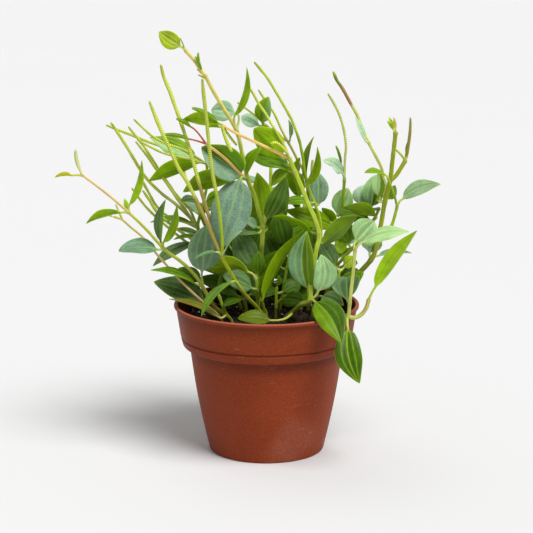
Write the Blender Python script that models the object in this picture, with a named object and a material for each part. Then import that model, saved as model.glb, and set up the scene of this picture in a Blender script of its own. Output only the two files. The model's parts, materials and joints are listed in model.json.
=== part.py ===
"""A beetle peperomia in its nursery pot: angled stems with elliptic leaves and long flower spikes.

Sizes are in millimetres, and MM turns them into metres as each mesh is made. +Z is up, the pot stands on
z = 0 with its axis on the Z axis, and the plant's best side looks along -Y.

A place on the plant is given as (across, up, back): how far across and how high it looks on the upright plane
through the pot's axis when seen from the eye point in front, and how far behind that plane it really lies.
"""

import math
import random

import bpy
from mathutils import Vector
from mathutils.bvhtree import BVHTree

MM = 0.001

# The pot: its rim has a lip, a band with a groove round it, and a step in to the tapering body
POT_HEIGHT = 97.0
RIM_RADIUS = 60.0
LIP_HEIGHT = 2.6
LIP_WIDTH = 2.4
EDGE_ROUND = 0.8
BAND_TOP_RADIUS = 58.5
BAND_FOOT_RADIUS = 54.2
BAND_DROP = 27.0
GROOVE_RADIUS = 55.2
GROOVE_RISE = 5.6
GROOVE_HALF_WIDTH = 0.7
GROOVE_DEPTH = 0.6
STEP_RADIUS = 50.0
STEP_DROP = 1.2
INNER_STEP_RADIUS = 54.0
INNER_STEP_RISE = 4.0
FOOT_RADIUS = 37.4
SIDE_SWELL = 1.2
WALL = 1.6
POT_SIDES = 32
FLOOR_HEIGHT = 2.4
FLOOR_CORNER = 1.0
RING_WIDTH = 3.2
HUB_RADIUS = 9.0
HUB_FLARE = 1.0
DRAIN_RADIUS = 4.0
DRAIN_COUNT = 6
DRAIN_SIDES = 8
DRAIN_CIRCLE = 23.0

# The soil
SOIL_TOP = 88.0
SOIL_EDGE_DROP = 3.0
SOIL_CROWN = 2200.0
SOIL_ROUGHNESS = 1.2
SOIL_RINGS = (0.93, 0.68, 0.42, 0.19)
GAP = 0.3

# The eye point that the places are seen from
EYE = Vector((0.0, -1115.0, 362.0))

# The plant
ROOT_DEPTH = 11.0
FOOT_RISE = 1.5
HOLE_RISE = 9.0
CORNER_REACH = 1.15
STALK_THICKNESS = (0.6, 0.12, 1.5)
BLADE_THICKNESS = (0.9, 0.08, 1.7)
BLADE_LEAN = 0.92
BLADE_FULLNESS = 0.72
TIP_THINNING = 0.75
THIN_TIP_START = 0.7
LEAST_HALF_WIDTH = 0.6
LARGE_BLADE = 35.0
LARGE_STATIONS = (0.13, 0.36, 0.60, 0.82)
MIDDLE_STATIONS = (0.16, 0.46, 0.78)
SMALL_BLADE = 16.0
SMALL_STATIONS = (0.24, 0.62)
BLADE_ARCH = 0.07
SPIKE_SIDES = 3
SPIKE_STALK_SHARE = 0.45
SPIKE_STALK_WIDTH = 1.05
SPIKE_TIP_START = 0.75
SPIKE_TIP_NARROWING = 0.45
CLEARANCE = 0.5

# Every leafy stem: where its foot stands on the soil (x, y), its route, its thickness at foot and tip, and
# what grows from it. A leaf is (route point it grows from, start of its blade, tip, width, turn, fold): a turn
# of 0 shows its upper face to the eye, 180 its underside, and the fold lifts each half in degrees. Some leaves
# also have a bow, how far their middle curves sideways. A spike is (route point, its own route, thickness). A
# branch is a stem of its own from a route point.
LEAFY_STEMS = {
    "left_reach_stem": {
        "foot": (-27, -5),
        "thickness": (2.9, 1.5),
        "route": [
            (-33.5, 94, -6), (-38.5, 102, -7), (-41, 107, -8), (-46.5, 115.5, -9), (-55, 124, -10),
            (-66, 132.5, -11), (-77, 145, -12), (-88, 156, -13), (-101.5, 168, -15), (-117.5, 180.5, -17),
        ],
        "leaves": [
            (1, (-40, 98.5, -3), (-73, 110.8, 2), 18, 30, 10),
            (2, (-41.8, 117.5, -9), (-38.5, 148, -6), 22, 5, 10),
            (2, (-46, 109.5, -11), (-75, 118.5, -14), 14, 113, 15),
            (2, (-43, 110, -2), (-57, 120, 6), 12, 40, 10),
            (5, (-70, 132, -12), (-95.5, 131, -16), 19, 58, 12),
            (5, (-68, 137, -10), (-64.5, 165, -7), 12, -60, 15),
            (5, (-66.5, 136.5, -13), (-57.5, 161.5, -17), 12, 117, 12),
            (7, (-93.5, 156.3, -14), (-116, 149, -17), 13, 112, 15),
            (7, (-88.3, 160.5, -13), (-79.5, 190.5, -11), 10, 117, 12),
            (7, (-89.8, 158.5, -11), (-91, 165.5, -8), 3.5, 30, 10),
            (9, (-124, 180.5, -17), (-135.5, 179, -19), 8, 108, 15),
            (9, (-119, 184, -17), (-121.5, 197.5, -16), 7, -58, 15),
        ],
    },
    "tan_runner_stem": {
        "foot": (-29, -14),
        "thickness": (1.7, 1.5),
        "route": [
            (-38, 94.5, -14), (-45, 101, -14), (-55, 111, -12), (-66, 123.5, -4), (-74, 133, 1),
            (-80, 140.5, 3), (-87, 146.5, 5), (-92.5, 151.5, 6), (-97.5, 153.5, 6),
        ],
        "leaves": [(8, (-99, 153.8, 6), (-105.5, 155, 7), 3.5, 60, 10)],
        "spikes": [(7, [(-96.5, 161.5, 8)], 1.3)],
    },
    "spike_bearer_stem": {
        "foot": (-1, -14),
        "thickness": (2.9, 2.4),
        "route": [
            (-6, 93.5, -16), (-12, 100, -19), (-16.5, 106, -21), (-21, 113, -23), (-25.5, 121, -25),
            (-29, 127.5, -26),
        ],
        "leaves": [
            (5, (-32, 130.3, -29), (-46.5, 126, -34), 7, 102, 10),
            (5, (-26.5, 132, -29), (-15.5, 144.5, -36), 7, -75, 10),
            (2, (-22.5, 110.5, -27), (-42.5, 87.5, -41), 10, 55, 32),
            (1, (-16, 99.5, -18), (-28.5, 93.8, -24), 9, 58, 10),
        ],
        "spikes": [
            (5, [(-31.5, 133, -28), (-35.5, 143, -29), (-41.5, 157, -30), (-49.5, 174, -30), (-56, 185, -29),
                 (-63.5, 202, -27), (-68, 212, -24), (-71.5, 221, -21), (-74, 227.5, -19)], 2.3),
            (5, [(-30.5, 134, -24), (-34.5, 147, -23), (-38, 157, -22), (-43.5, 177, -20), (-48, 194, -17),
                 (-54, 213.5, -14), (-58, 225, -11), (-61, 234, -9), (-64.7, 243, -7), (-66.5, 250.5, -6)], 2.3),
            (5, [(-28.5, 134, -28), (-29, 145, -30), (-31.5, 165, -34), (-35, 185, -37), (-37, 205, -39),
                 (-38.5, 221, -41), (-39.7, 232, -42), (-40.5, 242, -43)], 2.2),
        ],
    },
    "low_centre_stem": {
        "foot": (0, -5),
        "thickness": (2.6, 2.2),
        "route": [(-2, 94, -5), (-4, 101, -6), (-5.5, 106, -7), (-6.5, 111.5, -7)],
        "leaves": [
            (1, (-2.5, 98.5, -12), (24.5, 145.5, -20), 13, -125, 15),
            (2, (-5, 105, -9), (10, 132, -5), 16, -15, 15, -2.5),
            (3, (-11, 117, -8), (-40, 120, -2), 21, 127, 8),
            (2, (-9.5, 106.5, -10), (-28.5, 115, -15), 15, 48, 10),
            (3, (-8.5, 121, -5), (-20, 144, 2), 16, 5, 10),
            (3, (-5.5, 115, -4), (-5, 131, 3), 10, 20, 10),
        ],
    },
    "tall_main_stem": {
        "foot": (-6, 8),
        "thickness": (3.7, 2.3),
        "route": [
            (-5.5, 98, 8), (-4.5, 112, 6), (-3.5, 128, 2), (-2.5, 147, -2), (-5, 157, -4), (-8, 168, -6),
            (-12, 178, -8), (-15, 192, -9), (-19, 209, -10), (-27, 223, -10), (-33.5, 234, -9),
            (-38.5, 243.5, -8), (-45, 253, -7), (-51, 260, -6),
        ],
        "leaves": [
            (3, (0, 152.5, -5), (12.5, 180, -10), 15, 22, 18),
            (3, (-5.5, 142.8, -5), (-19, 141.5, -12), 10, 65, 10),
            (3, (-6, 146.8, -3), (-14, 152, -6), 8, 40, 10),
            (3, (-1.5, 155, 3), (-6, 182.5, 8), 13, 160, 8),
            (6, (-16.5, 178.5, -12), (-29.5, 133, -22), 25, 3, 5),
            (6, (-16, 180.2, -10), (-41.5, 198.8, -15), 27, 5, 40),
            (6, (-13.5, 180.5, -9), (-3, 199, -13), 11, -50, 20),
            (6, (-21, 180, -3), (-53.5, 169.5, 8), 18, 135, 10),
            (8, (-20.3, 218.5, -11), (-12.5, 249.8, -13), 10, 117, 12, -2),
            (8, (-19.5, 220.5, -5), (-35, 222.5, 1), 14, 10, 10),
            (11, (-41, 247.5, -8), (-45, 256.5, -9), 3.4, 40, 15),
            (11, (-41.5, 249, -7), (-43, 259, -5), 3, -40, 15),
            (11, (-40.5, 245, -7), (-44, 248.5, -5), 2.6, 30, 15),
            (11, (-40, 243, -7), (-43.2, 244.5, -4), 2.4, 30, 15),
            (13, (-53.7, 262.3, -6), (-67.6, 271.5, -5), 11.5, -12, 12),
            (13, (-52, 262.5, -6), (-54.5, 268, -5), 2.4, 20, 15),
        ],
        "branches": [
            {
                "from": 6,
                "thickness": (2.2, 1.9),
                "route": [(-17, 182, -11), (-26.5, 191.5, -18), (-32, 196, -19), (-38.5, 200.8, -18)],
                "leaves": [
                    (3, (-50, 204, -19), (-66, 206.5, -20), 4.6, 100, 50),
                    (3, (-48.5, 212, -18), (-57.5, 217, -19), 4.4, 100, 50),
                ],
            },
        ],
    },
    "front_main_stem": {
        "foot": (12, -16),
        "thickness": (3.6, 2.9),
        "route": [
            (17, 90, -21), (22.5, 95.5, -27), (28, 98.5, -31), (28.5, 110, -31), (30.5, 122, -30),
            (32, 132, -28), (33.8, 141.5, -26), (31, 152, -24), (27, 161, -22), (23.5, 170, -20),
            (18.5, 182, -18), (14.5, 191.5, -17),
        ],
        "leaves": [
            (0, (2.5, 85, -46), (-19, 86.3, -47), 13, 48, 10),
            (2, (27, 106, -30), (26, 144.3, -29), 18, -12, 20, -3),
            (2, (33.3, 104.5, -32), (35.3, 129, -31), 15, 8, 8, 3.5),
            (2, (31.5, 97.3, -38), (49, 69.5, -66), 18, -4, 10, -3),
            (6, (36, 136.5, -22), (58.5, 154.5, -12), 18, -128, 10, -3),
            (6, (29, 143.5, -23), (3.5, 153.5, -18), 19, 125, 10),
            (10, (14, 183.5, -15), (-1.5, 189.5, -12), 9, 60, 12),
            (11, (10, 192, -13), (-8, 211, -11), 18, 160, 8),
            (11, (14.5, 184.5, -12), (3, 173.5, -8), 11, 50, 12),
        ],
        "spikes": [
            (11, [(12, 198, -14), (7.5, 206, -12), (0, 219, -9), (-5, 226.5, -7), (-8.5, 233, -5),
                  (-13, 239.5, -3)], 1.6),
            (11, [(12.5, 195.5, -19), (9, 199.5, -21), (5.5, 201.5, -22), (2.5, 200.5, -23)], 1.8),
        ],
        "branches": [
            {
                "from": 11,
                "thickness": (2.2, 1.8),
                "route": [(4, 196.5, -19), (-8, 202.3, -20), (-20, 208, -21), (-28.5, 213, -21)],
                "leaves": [
                    (3, (-31, 214.5, -22), (-47.5, 223.8, -24), 4.8, 100, 50),
                    (3, (-31, 213.8, -20), (-53.5, 216, -16), 12, 118, 12),
                    (3, (-30, 211.5, -22), (-37.5, 211.5, -26), 6, 115, 10),
                ],
                "spikes": [
                    (3, [(-26.5, 206, -23), (-24.5, 200.5, -24), (-22, 195.5, -24)], 2.1),
                    (3, [(-23, 205, -19), (-19, 200, -17)], 1.5),
                ],
            },
        ],
    },
    "trailing_stem": {
        "foot": (33, -21),
        "thickness": (2.6, 2.3),
        "route": [
            (38, 94, -27), (45.5, 91, -35), (52.5, 88, -41), (53.8, 96, -42), (55, 108, -43),
            (56.2, 120, -43), (57, 131.5, -43),
        ],
        "leaves": [
            (2, (53, 79.5, -47), (61, 42.5, -61), 17, -5, 10, 3.5),
            (3, (52.6, 98.5, -38), (52, 114, -20), 22, -8, 32),
            (6, (57, 137, -44), (69, 150.8, -38), 19, 12, 12),
            (6, (61.5, 136.5, -46), (92, 143.8, -50), 13, -48, 12),
        ],
        "branches": [
            {
                "from": 2,
                "thickness": (2.5, 2.3),
                "route": [(57, 86.8, -43), (61.5, 89, -44), (64.8, 93.5, -45), (66.3, 99, -46)],
                "leaves": [(3, (70, 106.5, -47), (97, 144.8, -52), 12, -140, 10)],
            },
        ],
    },
    "behind_centre_stem": {
        "foot": (20, 14),
        "thickness": (2.4, 1.7),
        "route": [
            (24, 105, 14), (28, 125, 13), (28.5, 145, 12), (27, 165, 10), (24, 182, 8), (20, 190, 7),
            (16.5, 197, 6), (14, 201.5, 5),
        ],
        "leaves": [
            (7, (15, 204, 4), (13.8, 216.5, 3), 5, 55, 15),
            (4, (19, 177, 8), (21.3, 192.3, 4), 9, -130, 12),
            (3, (21, 166, 6), (13, 187, 0), 13, 150, 10),
            (5, (14.5, 187, 8), (-13, 194, 13), 13, 25, 10),
        ],
        "spikes": [
            (6, [(12, 205, 9), (9.5, 210, 10), (5, 220, 12), (0, 227.5, 14), (-5, 235, 16)], 1.5),
        ],
        "branches": [
            {
                "from": 7,
                "thickness": (1.5, 1.4),
                "route": [(8, 206.5, 4), (0, 212.5, 4), (-8, 219.5, 5), (-18, 227, 6)],
                "leaves": [
                    (1, (-5, 212.5, 6), (-16, 218.5, 11), 10, 20, 8),
                    (1, (-2.5, 214, 2), (1.5, 231, 0), 13, -20, 30),
                ],
            },
        ],
    },
    "centre_right_stem": {
        "foot": (30, 3),
        "thickness": (2.6, 2.0),
        "route": [
            (32, 100, 3), (34.5, 125, 2), (35, 145, 1), (33.5, 155, 1), (30.5, 163, 1), (26.5, 173, 1),
        ],
        "leaves": [
            (0, (36, 101, -2), (50, 95, -12), 12, -25, 10),
            (4, (33.3, 161.5, 3), (33, 182.5, 8), 13, 8, 10),
            (4, (28.5, 162.5, -4), (10.5, 162, -10), 12, 62, 12),
            (5, (25.3, 180, 3), (30.3, 205.8, 7), 9, -65, 12),
            (5, (25, 174, -2), (32.3, 199.3, -6), 11, 120, 12, -2.5),
        ],
        "spikes": [
            (5, [(24, 185, 0), (23.3, 191, 0), (22, 198, -1), (20.5, 204, -2), (17, 214, -4), (14, 220, -6),
                 (10, 227, -8), (5, 235.5, -10), (0, 243.5, -12), (-7.5, 252.5, -15)], 1.8),
        ],
    },
    "right_vertical_stem": {
        "foot": (40, 20),
        "thickness": (2.7, 2.2),
        "route": [
            (42, 105, 19), (45, 125, 17), (47.5, 143, 15), (48.5, 156, 14), (49.2, 168, 13), (49.8, 178, 12),
        ],
        "leaves": [
            (1, (43, 127.5, 12), (35, 130, 6), 9, 50, 10),
            (2, (43.8, 149, 12), (35.5, 159.5, 7), 9, 135, 10),
            (2, (49.5, 143, 12), (47.5, 129, 5), 9, 160, 10),
            (2, (42.5, 147.3, 13), (11.5, 158, 8), 13, 58, 10),
            (3, (45.5, 154.5, 17), (52, 172.5, 21), 14, 0, 10),
            (5, (48.3, 182, 11), (41, 189.5, 7), 8, 30, 10),
            (5, (47.3, 186, 13), (36.3, 190.3, 18), 9, 45, 10),
            (5, (47.6, 188.5, 11), (44, 200, 8), 2.6, 30, 20),
        ],
        "spikes": [
            (5, [(50, 190, 12), (50.6, 199, 12), (49.5, 208, 13), (46.7, 218, 15), (43, 226, 18),
                 (39, 232.5, 21)], 1.6),
        ],
    },
    "right_main_stem": {
        "foot": (41, 4),
        "thickness": (3.5, 2.9),
        "route": [
            (47, 101, 1), (57, 113.5, -2), (67.5, 125.5, -5), (71, 135, -6), (73.8, 150, -7),
            (75.8, 163, -8), (79, 177, -9), (80.3, 190, -10), (81.5, 202, -11), (82, 208, -11),
        ],
        "leaves": [
            (2, (66.5, 130, -4), (69, 142, 2), 14, 0, 10),
            (2, (72, 128, -4), (94, 129.7, 1), 9, -65, 12),
            (5, (72.5, 166, -3), (72, 182.3, 2), 10, 0, 10),
            (5, (71, 165, -10), (73, 180.5, -15), 6, 60, 30),
            (5, (77, 165, -4), (82.5, 174, 1), 8, 40, 10),
            (9, (81, 210, -11), (77.4, 218.3, -11), 3.4, 0, 30),
            (9, (80, 210.5, -12), (76.3, 215.5, -14), 2.4, 20, 20),
            (9, (82, 211, -11), (80.7, 217.8, -9), 2.6, 20, 20),
        ],
        "branches": [
            {
                "from": 6,
                "thickness": (2.9, 2.6),
                "route": [(82.8, 180.5, -7), (88.6, 190, -5)],
                "leaves": [
                    (1, (88.6, 192.5, -5), (91.2, 218, -3), 3.2, 55, 20, -0.8),
                    (1, (89.8, 192.5, -4), (91.8, 205, -1), 4, -60, 15),
                ],
                "spikes": [(1, [(86, 193.5, -7), (82.7, 196.8, -9.5)], 1.4)],
            },
            {
                "from": 5,
                "thickness": (2.3, 2.1),
                "route": [(75.2, 173, -3), (73.7, 184, 0), (70, 192, 1), (65, 201.5, 3), (60.5, 211, 5)],
                "leaves": [(3, (62.8, 203, 1), (56, 218.5, -1), 6, 50, 15, -1.5)],
                "spikes": [
                    (4, [(57.6, 219, 7), (53, 227, 9), (48, 236, 11), (44.5, 241, 12), (42.2, 246.5, 13)], 2.0),
                ],
            },
            {
                "from": 3,
                "thickness": (2.4, 2.0),
                "route": [(77, 142, -4), (80.5, 148, -3), (82.3, 154, -3), (83.7, 160, -3)],
                "leaves": [(3, (87, 165, -3), (111.5, 174.8, 0), 14.5, -50, 12, -1)],
                "branches": [
                    {
                        "from": 3,
                        "thickness": (1.7, 1.6),
                        "route": [(82.3, 166, -5), (80, 172.5, -13), (77.5, 178.5, -15)],
                        "leaves": [(2, (76, 180.8, -15), (62.5, 182, -19), 10, 70, 15)],
                    },
                ],
            },
        ],
    },
    "right_second_stem": {
        "foot": (36, 11),
        "thickness": (2.5, 2.0),
        "route": [
            (40, 107, 10), (45, 120.5, 8), (55, 132.5, 6), (62, 141, 5), (68.5, 151, 4), (72.3, 159, 3),
        ],
        "leaves": [
            (0, (44, 111, 12), (60, 118.5, 16), 13, -30, 10),
            (1, (49, 121, 4), (59, 123, -8), 11, -35, 10),
            (4, (70, 154, 0), (49, 159.5, -6), 15, 122, 12),
            (5, (67, 160, 6), (70, 181, 10), 14, 0, 8),
            (5, (61.5, 160, 9), (64, 174.5, 14), 16, 0, 8),
            (4, (66, 151.5, 9), (46, 156.5, 12), 13, 35, 10),
            (2, (53, 136, 10), (50.5, 150, 13), 13, 10, 10),
        ],
    },
    "small_inner_stem": {
        "foot": (6, -5),
        "thickness": (2.2, 2.0),
        "route": [(6.3, 95, -6), (6.2, 103, -6), (6.5, 107, -6)],
        "leaves": [
            (2, (6.7, 108, -6), (7.7, 115.5, -8), 5, 30, 40),
            (0, (10, 99, -8), (25, 97, -18), 13, -35, 10),
            (1, (10, 104, -3), (22, 109, 2), 12, -30, 10),
        ],
    },
    "back_left_stem": {
        "foot": (-17, 17),
        "thickness": (2.8, 2.0),
        "route": [
            (-21, 101, 18), (-29, 115, 19), (-38, 130, 21), (-44, 146, 22), (-41, 160, 21), (-38, 175, 20),
            (-38, 188, 19),
        ],
        "leaves": [
            (2, (-46, 136.5, 17), (-73.5, 121, 7), 13, 55, 10),
            (2, (-43, 140, 14), (-60, 138.5, 6), 8, 70, 10),
            (3, (-48.5, 150, 19), (-75, 149.8, 14), 10, 66, 12),
            (4, (-43, 162.3, 16), (-55, 163.5, 10), 12, 70, 25),
            (4, (-39.5, 161.5, 16), (-27, 166.5, 8), 14, -45, 10),
            (6, (-44, 188.5, 15), (-75.5, 176.5, 6), 15, 133, 10),
            (6, (-44.5, 190, 23), (-74.5, 205, 20), 14, 25, 12),
        ],
        "spikes": [
            (3, [(-50, 154, 22), (-59, 162.5, 21), (-68, 169.5, 19), (-78.5, 181, 16), (-89, 199, 12),
                 (-95.5, 209.5, 9), (-98.5, 214, 7)], 2.0),
            (6, [(-47, 192, 26), (-56, 195.3, 30), (-65, 198.5, 33), (-75, 202, 35), (-86, 206.5, 36),
                 (-95, 210, 37), (-101.5, 212.7, 37)], 1.8),
            (6, [(-52, 196.5, 14), (-64, 201, 12), (-73, 206, 10), (-84, 216.3, 7)], 1.5),
            (3, [(-51, 157, 25), (-60, 171, 27), (-68, 183, 28), (-74, 193, 29), (-79, 200.5, 29),
                 (-87.5, 211.5, 30)], 1.7),
            (3, [(-49, 153, 18), (-57, 165, 16), (-64, 175.5, 14), (-70, 184, 12), (-76, 193, 10),
                 (-83, 202, 8)], 1.7),
            (6, [(-50, 191, 13), (-64, 194.3, 8), (-72, 197.8, 6), (-82, 203.2, 4)], 1.5),
            (2, [(-50, 136, 26), (-62, 145.5, 28), (-71, 153.5, 29), (-78.5, 161.5, 29), (-86, 172, 29)], 1.7),
            (2, [(-47, 138, 19), (-56, 144.5, 17), (-64, 150.5, 13), (-70.5, 157, 11), (-75, 164.5, 10),
                 (-79, 170.5, 9)], 1.9),
            (3, [(-52, 150, 27), (-62, 153, 31), (-70, 160, 33), (-76, 170.5, 33), (-81, 180, 33)], 1.8),
            (3, [(-49, 158, 20), (-55, 165, 20), (-61, 172, 19), (-66.5, 179, 18)], 1.6),
        ],
    },
    "front_left_stem": {
        "foot": (-22, -22),
        "thickness": (2.4, 2.0),
        "route": [(-26, 89, -23), (-28.5, 95, -23), (-30.5, 101, -21)],
        "leaves": [
            (0, (-30.5, 86.8, -26), (-63.5, 99.3, -5), 10, 66, 10),
            (2, (-31, 104.5, -19), (-26, 117, -14), 9, 30, 12),
        ],
    },
    "inner_left_stem": {
        "foot": (-13, 8),
        "thickness": (2.4, 1.9),
        "route": [(-14.5, 99.5, 8.5), (-18, 117, 11), (-21, 131, 13), (-19, 147, 15)],
        "leaves": [
            (0, (-19, 101.5, 10), (-45, 113, 13), 17, 50, 12),
            (0, (-11, 102, 12), (8, 107, 19), 15, -50, 12),
            (1, (-15.5, 122, 13), (-5, 144, 17), 16, -15, 12),
            (1, (-22, 119, 9), (-46, 127, 11), 17, 45, 12),
            (2, (-24, 135, 15), (-33, 158, 20), 15, 20, 12),
            (2, (-18, 135, 14), (-12, 158, 22), 14, -10, 12),
            (3, (-16, 150, 14), (-5, 170, 11), 13, -20, 12),
            (3, (-22, 149.5, 17), (-36, 165, 19), 14, 40, 12),
            (1, (-20, 121, 16), (-30, 138, 23), 16, 20, 12),
        ],
    },
    "inner_middle_stem": {
        "foot": (9, 12),
        "thickness": (2.4, 1.9),
        "route": [(10, 100, 12.5), (11.3, 109, 14), (13, 119, 15.3), (15, 131, 17)],
        "leaves": [
            (0, (13.5, 102, 14), (35, 107, 20), 16, -50, 12),
            (1, (15, 112, 13), (32, 122, 10), 16, -30, 12),
            (2, (9, 121, 17), (0, 141, 22), 17, 15, 12),
            (2, (16, 122, 14), (33, 131, 14), 15, -35, 12),
            (3, (12, 135, 19), (6, 158, 26), 15, 15, 12),
            (3, (18, 134, 18), (36, 146, 24), 15, -35, 12),
        ],
    },
    "inner_right_stem": {
        "foot": (44, -7),
        "thickness": (2.3, 1.9),
        "route": [(45, 100, -7), (46, 109, -6), (47, 118, -5)],
        "leaves": [
            (0, (48, 104, -8), (63, 117, -12), 13, -30, 12),
            (2, (44, 121, -6), (33, 138, -10), 13, 30, 12),
            (2, (50, 120, -4), (58, 127, -2), 10, -40, 12),
        ],
    },
    "inner_back_stem": {
        "foot": (-4, 21),
        "thickness": (2.4, 1.9),
        "route": [(-4, 99, 22), (-3.5, 113, 24), (-3, 127, 26), (-2.5, 143, 27)],
        "leaves": [
            (0, (-8, 100, 25), (-34, 103, 29), 18, 40, 10),
            (0, (0, 101, 26), (27, 104, 31), 18, -40, 10),
            (1, (-7, 114, 27), (-31, 122, 30), 18, 35, 10),
            (1, (1, 115, 27), (26, 122, 31), 18, -35, 10),
            (2, (-6, 129, 29), (-22, 147, 33), 17, 20, 10),
            (2, (1, 129, 28), (18, 146, 33), 17, -20, 10),
            (3, (-4, 146, 29), (-10, 168, 33), 15, 5, 10),
            (3, (1, 146, 29), (13, 166, 32), 15, -15, 10),
        ],
    },
}

# The stems at the back, which the front ones hide: (foot angle, lean, height, leaf pairs, with a spike)
REAR_STEMS = [
    (34, 22, 40, 2, False),
    (64, 18, 58, 2, True),
    (88, 24, 74, 3, True),
    (112, 16, 52, 2, False),
    (138, 24, 60, 2, True),
]
REAR_FOOT_RADIUS = 33.0
REAR_THICKNESS = (2.6, 1.9)
REAR_LEAF_LENGTH = (24.0, 31.0)
REAR_LEAF_WIDTH = (14.0, 19.0)
REAR_LOW_RISE = (-0.1, 0.2)
REAR_RISE = (0.15, 0.75)
REAR_SEED = 11

# How far a tip may be bent back or forward, and a leaf turned, to stay clear of its neighbours
BENDS = (0, 4, -4, 8, -8, 12, -12, 17, -17, 22, -22)
TURNS = (0, 14, -14, 28, -28, 42, -42)

# The shares of its planned size that a leaf is tried at, where it has no clear place
LEAF_SIZES = (1.0, 0.85, 0.7, 0.55)


def clear_scene():
    for obj in list(bpy.data.objects):
        bpy.data.objects.remove(obj, do_unlink=True)


def plain_material(name, colour, roughness):
    material = bpy.data.materials.new(name)
    material.use_nodes = True
    shader = material.node_tree.nodes["Principled BSDF"]
    shader.inputs["Base Color"].default_value = (*colour, 1.0)
    shader.inputs["Roughness"].default_value = roughness
    shader.inputs["Metallic"].default_value = 0.0
    return material


def seen(place):
    """The point that looks to be at (across, up) from the eye and lies `back` behind the pot's axis."""
    across, up, back = place
    on_plane = Vector((across, 0.0, up))
    return EYE + (on_plane - EYE) * ((back - EYE.y) / -EYE.y)


def smooth_route(points, per_span):
    """A Catmull-Rom curve through the points, with per_span steps from each to the next."""
    padded = [points[0] * 2 - points[1]] + points + [points[-1] * 2 - points[-2]]
    route = []
    for i in range(1, len(padded) - 2):
        before, start, end, after = padded[i - 1:i + 3]
        for step in range(per_span):
            t = step / per_span
            route.append(
                (start * 2 + (end - before) * t
                 + (before * 2 - start * 5 + end * 4 - after) * t ** 2
                 + (start * 3 - before - end * 3 + after) * t ** 3) / 2
            )
    route.append(points[-1].copy())
    return route


def turned_away(reference, direction):
    """The part of reference that is square to direction, at length 1."""
    across = reference - direction * reference.dot(direction)
    if across.length < 0.05:
        spare = Vector((1, 0, 0)) if abs(direction.x) < 0.8 else Vector((0, 1, 0))
        across = spare - direction * spare.dot(direction)
    return across.normalized()


def tube_rings(route, radii, sides):
    """Rings of points round a route, with no twist from one to the next."""
    rings = []
    side = turned_away(Vector((1, 1, 0)), (route[1] - route[0]).normalized())
    for i, centre in enumerate(route):
        direction = (route[min(i + 1, len(route) - 1)] - route[max(i - 1, 0)]).normalized()
        side = turned_away(side, direction)
        up = direction.cross(side)
        rings.append([
            centre + (side * math.cos(math.tau * k / sides) + up * math.sin(math.tau * k / sides)) * radii[i]
            for k in range(sides)
        ])
    return rings


def loft(rings, tip):
    """A closed surface through rings of equal size, capped flat at the first and drawn to a point at the tip."""
    sides = len(rings[0])
    points = [point for ring in rings for point in ring] + [tip]
    faces = [(0, k + 1, k) for k in range(1, sides - 1)]
    for i in range(len(rings) - 1):
        low, high = i * sides, (i + 1) * sides
        for k in range(sides):
            j = (k + 1) % sides
            if k % 2:
                faces += [(low + k, low + j, high + k), (low + j, high + j, high + k)]
            else:
                faces += [(low + k, low + j, high + j), (low + k, high + j, high + k)]
    last = (len(rings) - 1) * sides
    faces += [(last + k, last + (k + 1) % sides, len(points) - 1) for k in range(sides)]
    volume = sum(points[a].dot(points[b].cross(points[c])) for a, b, c in faces)
    if volume < 0:
        faces = [(c, b, a) for a, b, c in faces]
    return points, faces


def stem_shape(route, thickness):
    """A four-angled stem along the route, tapering to its top."""
    count = len(route)
    radii = [
        (thickness[0] + (thickness[1] - thickness[0]) * i / (count - 1)) / 2 * CORNER_REACH
        for i in range(count)
    ]
    rings = tube_rings(route, radii, 4)
    top = route[-1] + (route[-1] - route[-2]).normalized() * thickness[1] / 2
    return loft(rings, top)


def spike_radius(share, thickness):
    """The spike's radius at a share of its length: a little more on its bare stalk, and less at its tip."""
    if share < SPIKE_STALK_SHARE:
        return thickness / 2 * (SPIKE_STALK_WIDTH + (1 - SPIKE_STALK_WIDTH) * share / SPIKE_STALK_SHARE)
    past = max(0.0, share - SPIKE_TIP_START) / (1 - SPIKE_TIP_START)
    return thickness / 2 * (1 - SPIKE_TIP_NARROWING * past)


def spike_shape(route, thickness):
    """A flower spike: a slim rod, pointed at its tip."""
    last = len(route) - 1
    radii = [spike_radius(i / last, thickness) * CORNER_REACH for i in range(len(route))]
    rings = tube_rings(route, radii, SPIKE_SIDES)
    tip = route[-1] + (route[-1] - route[-2]).normalized() * thickness / 2
    return loft(rings, tip)


def blade_axes(base, tip, turn):
    """The blade's direction, the way that its upper face looks and its side, from the turn in degrees."""
    along = (tip - base).normalized()
    facing = turned_away(EYE - (base + tip) / 2, along)
    normal = facing * math.cos(math.radians(turn)) + along.cross(facing) * math.sin(math.radians(turn))
    return along, normal, along.cross(normal)


def blade_half_width(t, width):
    """Half the blade's width at a share t of its length: widest a little below the middle, pointed at the tip."""
    lean = t ** BLADE_LEAN
    return width / 2 * max(0.0, 4 * lean * (1 - lean)) ** BLADE_FULLNESS


def grown_thickness(limits, width):
    """A thickness that grows with the blade's width: (least, share of the width, most)."""
    least, share, most = limits
    return min(most, least + width * share)


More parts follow.
